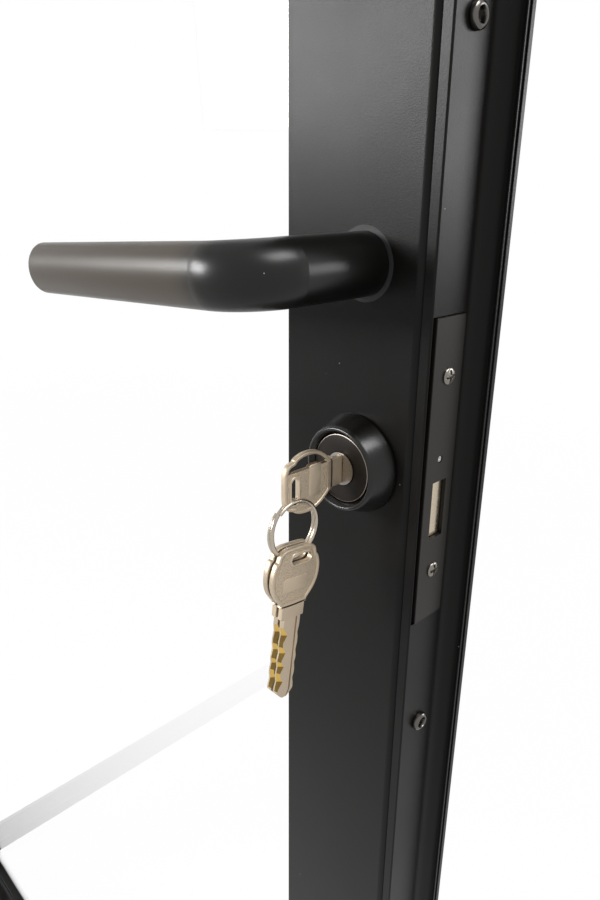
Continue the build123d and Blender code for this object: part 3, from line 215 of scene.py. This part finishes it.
rubber = soft_black("seal_rubber_black", (0.010, 0.010, 0.010), 0.7, 0.0008)
finish_nodes(rubber, "frame_stop_seal", "head_stop_seal", "flange_seal", "gasket_push",
             "gasket_pull")
nylon = soft_black("guide_nylon_black", (0.028, 0.028, 0.028), 0.5, 0.0012)
finish_nodes(nylon, "setting_blocks", "lever_bushes", "rod_guides")

# Glass: one clear toughened pane, held between the gaskets. Its index is kept below that of
# real glass, so that it mirrors little of the frame.
pane_index = 1.15
pane_tint = (0.94, 0.95, 0.945, 1)
pane_glass, link, shader, node = new_material("clear_pane_glass")
shader.inputs["Base Color"].default_value = (1, 1, 1, 1)
shader.inputs["Transmission Weight"].default_value = 1
shader.inputs["Roughness"].default_value = 0.0
shader.inputs["IOR"].default_value = pane_index
clear = node("ShaderNodeBsdfTransparent")
clear.inputs["Color"].default_value = pane_tint
blend_clear = node("ShaderNodeMixShader")
link(node("ShaderNodeLightPath").outputs["Is Shadow Ray"], blend_clear.inputs[0])
link(shader.outputs[0], blend_clear.inputs[1])
link(clear.outputs[0], blend_clear.inputs[2])
link(blend_clear.outputs[0], pane_glass.node_tree.nodes["Material Output"].inputs["Surface"])
finish_nodes(pane_glass, "glass")

# Lock edge: a coated steel faceplate with two cross-head screws, the dead bolt's ground end
# face behind it, and a socket-head screw above and one below that hold the rod guides.
def at(x, y, z):
    """A row point from millimetres off the key's axis: towards the lock edge, through, and up."""
    return key_axis + Vector((y, -x, z)) / 1000


def settle(name, shape, finishes, body, slot, *stands_for, crease=30):
    """Put a finished shape in the scene on its body, in place of the plain nodes it stands for."""
    bmesh.ops.recalc_face_normals(shape, faces=shape.faces)
    mesh = bpy.data.meshes.new(name)
    shape.to_mesh(mesh)
    shape.free()
    for finish in finishes:
        mesh.materials.append(finish)
    mesh.shade_smooth()
    mesh.set_sharp_from_angle(angle=math.radians(crease))
    made = bpy.data.objects.new(name, mesh)
    bpy.context.scene.collection.objects.link(made)
    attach(made, body)
    if stands_for:
        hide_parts(*stands_for)


def ring_of(shape, points):
    """New corner points for one run."""
    return [shape.verts.new(point) for point in points]


def band(shape, first, second, finish=0):
    """Faces between two closed runs of as many points."""
    for i in range(len(first)):
        j = (i + 1) % len(first)
        face = shape.faces.new((first[i], first[j], second[j], second[i]))
        face.material_index = finish


def turned(shape, centre, outward, profile, sides=96, finish=0):
    """A turned form: radius and height pairs in millimetres, run round an axis."""
    across = outward.orthogonal().normalized()
    beside = outward.cross(across)
    rings = []
    for radius, height in profile:
        middle = centre + outward * height / 1000
        if radius == 0:
            rings.append([shape.verts.new(middle)])
            continue
        rings.append(ring_of(shape, [
            middle + (across * math.cos(turn) + beside * math.sin(turn)) * radius / 1000
            for turn in (2 * math.pi * k / sides for k in range(sides))]))
    for low, high in zip(rings, rings[1:]):
        if len(low) == 1 or len(high) == 1:
            tip, rim = (low[0], high) if len(low) == 1 else (high[0], low)
            for i in range(sides):
                face = shape.faces.new((tip, rim[i], rim[(i + 1) % sides]))
                face.material_index = finish
        else:
            band(shape, low, high, finish)


faceplate_coat = powder_coat("faceplate_coat", (0.011, 0.009, 0.007), 0.34, 0.2, 0.0009,
                             0.00003)
finish_nodes(faceplate_coat, "faceplate")
ground_steel = metal("ground_bolt_steel", (0.70, 0.60, 0.46), 0.3, (40, 700, 8), 0.00001,
                     tone=0.3)
finish_nodes(ground_steel, "bolt")
drive_steel = metal("hardened_drive_steel", (0.42, 0.41, 0.39), 0.35)
finish_nodes(drive_steel, "spindle", "pinion", "rod_upper", "rod_lower", "cam")
edgeward = Vector((0, -1, 0))
edge_plane = 30.6
plate_rise = 0.8
plate_face = edge_plane + plate_rise
plate_middle = 11.3
plate_screw_rises = (39, -39)
head_radius = 3.1
head_height = 1.2
head_flank = 0.35
shank_length = 11.8
shank_radius = 2
cross_arm = 0.55
cross_reach = 2.3
cross_depth = 1.15
cross_taper = 0.55


def cross_head(shape, centre, radius, height, shank):
    """A domed screw head with a cross pressed into it."""
    across, beside = Vector((1, 0, 0)), Vector((0, 0, 1))
    steps, sides = 22, 72
    rings = []
    for k in range(1, steps + 1):
        r = radius * k / steps
        points = []
        for turn in (2 * math.pi * i / sides for i in range(sides)):
            x, z = r * math.cos(turn + 0.5), r * math.sin(turn + 0.5)
            dome = math.sqrt(max(0, 1 - (r / radius) ** 2))
            lift = (head_flank + (1 - head_flank) * dome) * height
            inside = min(abs(x), abs(z)) < cross_arm and r < cross_reach
            sink = cross_depth * height * (1 - cross_taper * r / cross_reach) if inside else 0
            points.append(centre + across * x / 1000 + beside * z / 1000
                          + edgeward * (lift - sink) / 1000)
        rings.append(ring_of(shape, points))
    foot = ring_of(shape, [vert.co - edgeward * head_flank * height / 1000 for vert in rings[-1]])
    eye = shape.verts.new(centre + edgeward * (1 - cross_depth) * height / 1000)
    for i in range(sides):
        shape.faces.new((eye, rings[0][i], rings[0][(i + 1) % sides]))
    for low, high in zip(rings, rings[1:] + [foot]):
        band(shape, low, high)
    turned(shape, centre, edgeward,
           [(0, -shank), (shank_radius, -shank), (2.1, 0.1), (0, 0.1)], 32)


heads = bmesh.new()
for rise in plate_screw_rises:
    cross_head(heads, at(plate_face, plate_middle, rise), head_radius, head_height, shank_length)
cross_metal = metal("worn_cross_screw", (0.30, 0.28, 0.25), 0.26, tone=0.6)
settle("faceplate_cross_screws", heads, [cross_metal], "leaf", "screw_steel", "faceplate_screws")

# The edge screws are black-zinced and have thick round heads with a deep socket.
edge_screw_rises = (149, -114)
edge_screw_profile = [(0, -7.8), (2, -7.8), (2.1, 0), (3.9, 0), (4.1, 0.3), (4.1, 1.1), (3.9, 1.8),
                      (3.4, 2.25), (2.9, 2.4), (2.5, 2.3), (2.25, 1.9), (2.1, 0.3), (0, 0.1)]
sockets = bmesh.new()
for rise in edge_screw_rises:
    turned(sockets, at(edge_plane, plate_middle, rise), edgeward, edge_screw_profile, 48)
black_zinc = metal("black_zinc_screw", (0.16, 0.15, 0.14), 0.22, tone=0.5)
settle("edge_socket_screws", sockets, [black_zinc], "leaf", "screw_steel", "edge_screws")

# The end of the cylinder's fixing screw is steel and lies in a small hole in the faceplate.
fixing_depth = 10.5
fixing_rise = 7.7
fixing_profile = [(0, -3), (1.25, -3), (1.25, -0.5), (1.1, -0.3), (0.4, -0.3), (0, -0.7)]
fixing = bmesh.new()
turned(fixing, at(plate_face, fixing_depth, fixing_rise), edgeward, fixing_profile, 32)
settle("fixing_screw_end", fixing, [drive_steel], "leaf", "screw_steel")

# Cylinder: a dark brown plated brass body, inside a satin black turned ring on each face; its thin
# rounded edge is given a lighter metal as a painted highlight line. The plug that the key turns is
# nickel-plated.
pushward = Vector((-1, 0, 0))
leaf_depth = 32
plug_bore = 6.55
barrel_radius = 13.6
barrel_foot = -7.1
weld = 0.000001
brown_plate = powder_coat("brown_cylinder_plate", (0.010, 0.007, 0.005), 0.36, 0.16, 0.0008,
                          0.00002)
# A lighter metal for the barrel's thin rounded edge band: a painted highlight line.
edge_highlight_metal = metal("brown_edge_painted_highlight", (0.26, 0.23, 0.20), 0.35)
barrel = bmesh.new()
turned(barrel, at(0, 0, 0), pushward,
       [(plug_bore, barrel_foot), (barrel_radius, barrel_foot), (barrel_radius, 8.6),
        (13.45, 8.9)])
# The thin rounded edge band takes the lighter metal, a painted highlight line.
turned(barrel, at(0, 0, 0), pushward, [(13.45, 8.9), (13.2, 9.0)], finish=1)
turned(barrel, at(0, 0, 0), pushward,
       [(13.2, 9.0), (6.8, 9.0), (plug_bore, 8.8), (plug_bore, barrel_foot)])
bmesh.ops.remove_doubles(barrel, verts=barrel.verts, dist=weld)
settle("cylinder_barrel", barrel, [brown_plate, edge_highlight_metal], "leaf", "cylinder_brown",
       "cylinder_body")
finish_nodes(brown_plate, "turn_housing")
ring_coat = powder_coat("satin_ring_coat", (0.004, 0.0036, 0.003), 0.27, 0.36, 0.0007, 0.00001)
finish_nodes(ring_coat, "thumb_turn")
ring_profile = [(13.8, 0), (19.6, 0), (20, 0.25), (20, 0.9), (19.85, 1.5), (18.5, 5.2),
                (17.2, 9.0), (16.85, 9.9), (16.4, 10.5), (15.9, 10.8), (15.45, 10.75),
                (15.1, 10.4), (14.8, 9.6), (13.8, 8.6), (13.8, 0)]
for ring_name, node_name, face_place, way in (
        ("collar_ring_push", "ring_push", at(0, 0, 0), pushward),
        ("collar_ring_pull", "ring_pull", at(0, leaf_depth, 0), -pushward)):
    collar = bmesh.new()
    turned(collar, face_place, way, ring_profile, 128)
    bmesh.ops.remove_doubles(collar, verts=collar.verts, dist=weld)
    settle(ring_name, collar, [ring_coat], "leaf", "ring_black", node_name, crease=50)
nickel_plug = metal("nickel_plug", (0.40, 0.37, 0.33), 0.3, tone=0.4)
finish_nodes(nickel_plug, "plug")

# Levers: cast, ground smooth and coated in satin black. Past the bend the coat is painted a
# little warm brown, a painted reflection of warm surroundings on the grip.
# Where the grip turns painted warm brown: a painted reflection, laid on along the lever.
warm_reflection_from = 0.010
warm_reflection_to = 0.030
painted_reflection_colour = (0.044, 0.033, 0.022, 1)
for lever_node, lever_name in (("lever_push", "satin_lever_coat"),
                               ("lever_pull", "satin_pull_coat")):
    lever_coat = powder_coat(lever_name, (0.004, 0.0038, 0.0034), 0.3, 0.3, 0.0006, 0.00001)
    tree = lever_coat.node_tree
    inward = cad[lever_node].matrix_world.inverted()
    reflection_start = inward @ (lever_axis + Vector((0, warm_reflection_from, 0)))
    reflection_way = (inward @ (lever_axis + Vector((0, warm_reflection_to, 0)))) - reflection_start
    along = tree.nodes.new("ShaderNodeVectorMath")
    along.operation = "DOT_PRODUCT"
    along.inputs[1].default_value = reflection_way / reflection_way.length_squared
    tree.links.new(tree.nodes["Texture Coordinate"].outputs["Object"], along.inputs[0])
    reflection_mask = tree.nodes.new("ShaderNodeMapRange")
    reflection_mask.interpolation_type = "SMOOTHSTEP"
    reflection_mask.inputs["From Min"].default_value = reflection_start.dot(reflection_way) / reflection_way.length_squared
    reflection_mask.inputs["From Max"].default_value = reflection_mask.inputs["From Min"].default_value + 1
    tree.links.new(along.outputs["Value"], reflection_mask.inputs["Value"])
    # Mix the painted reflection colour into the coat along the grip.
    reflection_mix = tree.nodes.new("ShaderNodeMix")
    reflection_mix.data_type = "RGBA"
    reflection_mix.inputs[7].default_value = painted_reflection_colour
    base = tree.nodes["Principled BSDF"].inputs["Base Color"]
    tree.links.new(base.links[0].from_socket, reflection_mix.inputs[6])
    tree.links.new(reflection_mask.outputs["Result"], reflection_mix.inputs[0])
    tree.links.new(reflection_mix.outputs[2], base)
    finish_nodes(lever_coat, lever_node)


# Keys: nickel-plated brass, stamped with a raised rim, a bare pad and a cast grain in the field.
# The track milled down each side of the blade shows the brass; the facets that slope one way
# are a darker copy of the brass, as painted shade.
def cast_field(name, colour, roughness, grain, depth):
    """The grainy ground between the rim and the pad: pits and grains, with painted shade darkening
    the hollows.
    """
    material, link, shader, node = new_material(name)
    shader.inputs["Metallic"].default_value = 1
    place = node("ShaderNodeTexCoord").outputs["Object"]
    grains = node("ShaderNodeTexVoronoi", Scale=1 / grain)
    rough = node("ShaderNodeTexNoise", Scale=1.6 / grain, Detail=3)
    for texture in (grains, rough):
        link(place, texture.inputs["Vector"])
    height = node("ShaderNodeMath", operation="MULTIPLY")
    link(grains.outputs["Distance"], height.inputs[0])
    link(rough.outputs["Fac"], height.inputs[1])
    # The deeper the pit, the darker its colour: painted shade in the hollows.
    link(toned(node, link, height.outputs[0], colour, [c * 0.45 for c in colour]),
         shader.inputs["Base Color"])
    relief = node("ShaderNodeBump", Strength=1, Distance=depth)
    relief.invert = True
    link(height.outputs[0], relief.inputs["Height"])
    link(relief.outputs["Normal"], shader.inputs["Normal"])
    link(graded(node, link, rough.outputs["Fac"], roughness * 0.7, roughness * 1.3),
         shader.inputs["Roughness"])
    return material


key_tone = (0.56, 0.46, 0.34)
key_metal = metal("nickel_key_metal", key_tone, 0.44, (300, 300, 300), 0.00002, tone=0.25)
key_field = cast_field("nickel_key_field", key_tone, 0.5, 0.0005, 0.0003)
key_brass = metal("milled_key_brass", (0.72, 0.47, 0.12), 0.2, (60, 60, 60), tone=0.3)
dulled = 0.7
for plated in (key_metal, key_field):
    plated.node_tree.nodes["Principled BSDF"].inputs["Metallic"].default_value = dulled
# A darker copy of the milled brass for the facets that slope the other way: painted shade.
key_brass_painted_shade = metal("painted_shade_key_brass", (0.26, 0.17, 0.05), 0.35, (60, 60, 60), tone=0.5)
bow_half = [(5.2, 5.6), (6.6, 6.6), (8.4, 8.2), (11, 10.2), (14, 11.5), (17, 12), (20, 11.9),
            (22.5, 11.3), (24.2, 10.5), (24.9, 9.7), (26, 9.4), (27.4, 8.9), (28.6, 7.7),
            (29.3, 5.8), (29.5, 3)]
slot_middle = 24.3
slot_low = -7.1
slot_high = 3.2
slot_half = 1.9
rim_heights = ((0, 0.8), (0.12, 1.05), (0.35, 1.2), (1.0, 1.2), (1.25, 1.1), (1.4, 0.9))
slot_heights = ((0.95, 0.9), (0.8, 1.1), (0.6, 1.17), (0.15, 1.17), (0, 1.05))
pad_outline = [(11.5, 5.6), (11.5, -5.6), (12, -6.1), (16.6, -6.1), (17.1, -5.6), (17.1, 5.6),
               (16.6, 6.1), (12, 6.1)]
pad_middle = Vector((14.3, 0))
pad_heights = ((1.05, 0.85), (1, 1.08), (0.95, 1.12))
collar_outline = [(5.7, -0.95), (5.7, 0.95), (5.45, 1.2), (-5.45, 1.2), (-5.7, 0.95),
                  (-5.7, -0.95), (-5.45, -1.2), (5.45, -1.2)]
collar_stops = ((7.4, 1), (0.3, 1), (0, 0.96))


def rounded(points, per_span=5):
    """A smooth closed run through the given points."""
    run = []
    count = len(points)
    for k in range(count):
        a, b, c, d = (Vector(points[(k + step) % count]) for step in (-1, 0, 1, 2))
        for part in range(per_span):
            t = part / per_span
            run.append(0.5 * ((2 * b) + (c - a) * t + (2 * a - 5 * b + 4 * c - d) * t ** 2
                              + (3 * b - a - 3 * c + d) * t ** 3))
    return run


def inset(run, distance):
    """The same closed run moved inward."""
    moved = []
    for k, point in enumerate(run):
        way = (run[(k + 1) % len(run)] - run[k - 1]).normalized()
        moved.append(point + Vector((-way.y, way.x)) * distance)
    return moved


def slot_run(margin, sides=14):
    """The slot's outline, widened by a margin."""
    half = slot_half + margin
    run = []
    for middle, start in ((slot_high - slot_half, 0), (slot_low + slot_half, math.pi)):
        for k in range(sides + 1):
            turn = start + math.pi * k / sides
            run.append(Vector((slot_middle + half * math.cos(turn),
                               middle + half * math.sin(turn))))
    return run


# Each step down the blade: its place, the depth of cut on the face and that on the edge.
blade_half = 4.3
milling = ((1, 0.15, 0), (-3.6, 0.15, 0), (-4.6, 0.9, 0.1), (-7.2, 2.5, 0.55),
           (-9.9, 0.8, 0.1), (-12, 0.8, 0.1), (-15, 2.6, 0.6), (-17.6, 0.9, 0.1),
           (-18.6, 0.9, 0.1), (-20.9, 2.4, 0.5), (-23.6, 0.8, 0.1), (-25.2, 0.9, 0.1),
           (-27.7, 2.6, 0.6), (-30.2, 0.9, 0.1), (-31.6, 0.15, 0), (-32.4, 0.15, 0))
milled_faces = (2, 10)
milled_depth = 0.2


def blade_section(cut, edge_cut, narrow=1.0):
    """Half of the blade's section, the other half being the same turned over."""
    half = [
        (blade_half - 0.15 - edge_cut, -1.15), (blade_half - edge_cut, -1.0),
        (blade_half - edge_cut, -0.35), (blade_half - cut, 1.15), (-1.7, 1.15), (-1.8, 0.6),
        (-2.5, 0.6), (-2.6, 1.15),
    ]
    return [(v * narrow, t) for v, t in half + [(-v, -t) for v, t in half]]


def make_key(name, shoulder, to_bow, across, body):
    """One key from its shoulder, the way to its bow and the way across its bow."""
    key_normal = to_bow.cross(across)

    def spot(u, v, t):
        return shoulder + (to_bow * u + across * v + key_normal * t) / 1000

    shape = bmesh.new()
    outline = rounded([(u, v) for u, v in bow_half] + [(u, -v) for u, v in reversed(bow_half)])
    turning = sum(a.cross(b) for a, b in zip(outline, outline[1:] + outline[:1]))
    if turning < 0:
        outline.reverse()
    edges = []
    for face_side in (1, -1):
        rings = [ring_of(shape, [spot(p.x, p.y, face_side * t) for p in inset(outline, d)])
                 for d, t in rim_heights]
        eyes = [ring_of(shape, [spot(p.x, p.y, face_side * t) for p in slot_run(d)])
                for d, t in slot_heights]
        for run in (rings, eyes):
            for low, high in zip(run, run[1:]):
                band(shape, low, high)
        edges.append((rings[0], eyes[-1]))
        rim_and_eye = rings[-1] + eyes[0]
        if face_side == 1:
            bounds = [shape.edges.get((run[i], run[(i + 1) % len(run)]))
                      for run in (rings[-1], eyes[0]) for i in range(len(run))]
            ground = bmesh.ops.triangle_fill(shape, use_beauty=True, edges=bounds,
                                             normal=key_normal)
            filled = [part for part in ground["geom"] if isinstance(part, bmesh.types.BMFace)]
            place = {vert: k for k, vert in enumerate(rim_and_eye)}
            corners = [[place[vert] for vert in face.verts] for face in filled]
            for face in filled:
                face.material_index = 1
        else:
            for three in corners:
                shape.faces.new([rim_and_eye[k] for k in three]).material_index = 1
        steps = [ring_of(shape, [spot(*(pad_middle + (Vector(p) - pad_middle) * k), face_side * t)
                                 for p in pad_outline]) for k, t in pad_heights]
        for low, high in zip(steps, steps[1:]):
            band(shape, low, high)
        shape.faces.new(steps[-1])
    band(shape, edges[0][0], edges[1][0])
    band(shape, edges[0][1], edges[1][1])
    stops = [ring_of(shape, [spot(u, v * k, t * k) for v, t in collar_outline])
             for u, k in collar_stops]
    for low, high in zip(stops, stops[1:]):
        band(shape, low, high)
    shape.faces.new(stops[0])
    shape.faces.new(stops[-1])
    sections = [(u, blade_section(cut, edge_cut)) for u, cut, edge_cut in milling]
    sections += [(-34.2, blade_section(0.15, 0, 0.6)), (-35.2, blade_section(0.15, 0, 0.28))]
    runs = [ring_of(shape, [spot(u, v, t) for v, t in section]) for u, section in sections]
    for low, high, (_, cut, _), (_, next_cut, _) in zip(runs, runs[1:], milling, milling[1:]):
        for i in range(len(low)):
            j = (i + 1) % len(low)
            face = shape.faces.new((low[i], low[j], high[j], high[i]))
            if i in milled_faces and max(cut, next_cut) > milled_depth:
                # Facets where the cut deepens take the brass, the others the darker copy as
                # painted shade.
                face.material_index = 2 if cut < next_cut else 3
    for low, high in zip(runs[len(milling) - 1:], runs[len(milling):]):
        band(shape, low, high)
    shape.faces.new(runs[0])
    shape.faces.new(runs[-1])
    settle(name, shape, [key_metal, key_field, key_brass, key_brass_painted_shade], body, "key_nickel", body,
           crease=28)


upward = Vector((0, 0, 1))
through = Vector((1, 0, 0))
shoulder_depth = -9.55
make_key("key_in_cylinder", at(0, shoulder_depth, 0), -through, upward, "key")
hang = math.radians(7.4)
to_ring = through * math.sin(hang) + upward * math.cos(hang)
plain_wire_radius = 0.85
slot_play = 0.55
hang_length = slot_middle + slot_half - plain_wire_radius - slot_play
for spare_name, spare_body, spare_joint in (
        ("spare_key_front", "spare_key_near", "spare_near_swing"),
        ("spare_key_rear", "spare_key_far", "spare_far_swing")):
    shoulder = Vector(joint_at[spare_joint]) - to_ring * hang_length / 1000
    make_key(spare_name, shoulder, to_ring, edgeward.cross(to_ring), spare_body)

# Key ring: bright spring steel wire, wound twice round so that its turns lie side by side.
# The wire crosses from one turn to the other over a short length.
wire_metal = metal("bright_ring_wire", (0.52, 0.46, 0.38), 0.24, tone=0.3)
wire_radius = 0.78
coil_radius = 11.25
coil_drop = 11.3
coil_start = 2.3
cross_over_from, cross_over_length = 0.85, 0.3
lay = 0.98
coil_middle = Vector(joint_at["ring_swing"]) - Vector((0, 0, coil_drop)) / 1000
wire_curve = bpy.data.curves.new("split_ring", "CURVE")
wire_curve.dimensions = "3D"
wire_curve.bevel_depth = wire_radius / 1000
wire_curve.bevel_resolution = 5
wire_curve.use_fill_caps = True
coil = wire_curve.splines.new("NURBS")
points_per_turn = 96
coil.points.add(2 * points_per_turn)
for k, point in enumerate(coil.points):
    turn = 2 * math.pi * k / points_per_turn + coil_start
    drift = max(0, min(1, (k / points_per_turn - cross_over_from) / cross_over_length))
    aside = (0.5 - drift) * 2 * wire_radius * lay
    point.co = (*(coil_middle + Vector((math.cos(turn) * coil_radius, aside,
                                        math.sin(turn) * coil_radius)) / 1000), 1)
coil.order_u = 4
coil.use_endpoint_u = True
wire_curve.materials.append(wire_metal)
split_ring = bpy.data.objects.new("split_ring", wire_curve)
bpy.context.scene.collection.objects.link(split_ring)
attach(split_ring, "key_ring")
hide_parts("key_ring")

# Studio: a plain white floor and surround. The eye, mirrors and glass see both as white; close
# to the door the floor keeps a faint share of its own paint, which holds the shadow.
def shown_rays(tree):
    """One for rays that show the background: to the eye, in a mirror or through glass."""
    rays = tree.nodes.new("ShaderNodeLightPath")
    total = rays.outputs["Is Camera Ray"]
    for kind in ("Is Transmission Ray", "Is Glossy Ray"):
        more = tree.nodes.new("ShaderNodeMath")
        more.operation = "MAXIMUM"
        tree.links.new(total, more.inputs[0])
        tree.links.new(rays.outputs[kind], more.inputs[1])
        total = more.outputs[0]
    return total


reach = 14
near_edge, far_edge = 1.5, 4
near_share = 0.97
floor_mesh = bpy.data.meshes.new("studio_floor")
floor_mesh.from_pydata([(-reach, -reach, 0), (reach, -reach, 0), (reach, reach, 0),
                        (-reach, reach, 0)], [], [(0, 1, 2, 3)])
floor = bpy.data.objects.new("studio_floor", floor_mesh)
bpy.context.scene.collection.objects.link(floor)
floor_paint, link, shader, node = new_material("pale_floor")
shader.inputs["Base Color"].default_value = (0.8, 0.8, 0.8, 1)
shader.inputs["Roughness"].default_value = 0.9
shader.inputs["Specular IOR Level"].default_value = 0
glow = node("ShaderNodeEmission", Strength=1)
glow.inputs["Color"].default_value = (1, 1, 1, 1)
away = node("ShaderNodeVectorMath", operation="LENGTH")
link(node("ShaderNodeTexCoord").outputs["Object"], away.inputs[0])
fade = node("ShaderNodeMapRange")
fade.inputs["From Min"].default_value = near_edge
fade.inputs["From Max"].default_value = far_edge
fade.inputs["To Min"].default_value = near_share
fade.inputs["To Max"].default_value = 1
link(away.outputs["Value"], fade.inputs["Value"])
share = node("ShaderNodeMath", operation="MULTIPLY")
link(shown_rays(floor_paint.node_tree), share.inputs[0])
link(fade.outputs["Result"], share.inputs[1])
floor_mix = node("ShaderNodeMixShader")
link(share.outputs[0], floor_mix.inputs[0])
link(shader.outputs[0], floor_mix.inputs[1])
link(glow.outputs[0], floor_mix.inputs[2])
link(floor_mix.outputs[0], floor_paint.node_tree.nodes["Material Output"].inputs["Surface"])
floor_mesh.materials.append(floor_paint)

fill_level = 0.35
world = bpy.data.worlds.new("studio_surround")
bpy.context.scene.world = world
world.use_nodes = True
sky = world.node_tree
backing = sky.nodes["Background"]
backing.inputs["Color"].default_value = (1, 1, 1, 1)
sky_level = sky.nodes.new("ShaderNodeMapRange")
sky_level.inputs["To Min"].default_value = fill_level
sky_level.inputs["To Max"].default_value = 1
sky.links.new(shown_rays(sky), sky_level.inputs["Value"])
sky.links.new(sky_level.outputs[0], backing.inputs["Strength"])


def softbox(name, towards, distance, width, height, power):
    """A soft lamp that faces the lock; the eye doesn't see it, straight or through glass."""
    lamp = bpy.data.lights.new(name, "AREA")
    lamp.shape = "RECTANGLE"
    lamp.size = width
    lamp.size_y = height
    lamp.energy = power
    holder = bpy.data.objects.new(name, lamp)
    bpy.context.scene.collection.objects.link(holder)
    way = Vector(towards).normalized()
    holder.location = key_axis + way * distance
    holder.rotation_euler = way.to_track_quat("Z", "Y").to_euler()
    holder.visible_camera = False
    holder.visible_transmission = False


softbox("window_light", (-0.72, 0.66, 0.23), 3.0, 1.3, 0.8, 115)
softbox("overhead_light", (0.08, -0.53, 0.83), 2.6, 1.4, 0.9, 48)
softbox("edge_light", (0.82, -0.55, 0.14), 3.0, 1.1, 1.0, 30)

bpy.context.scene.view_settings.view_transform = "Standard"
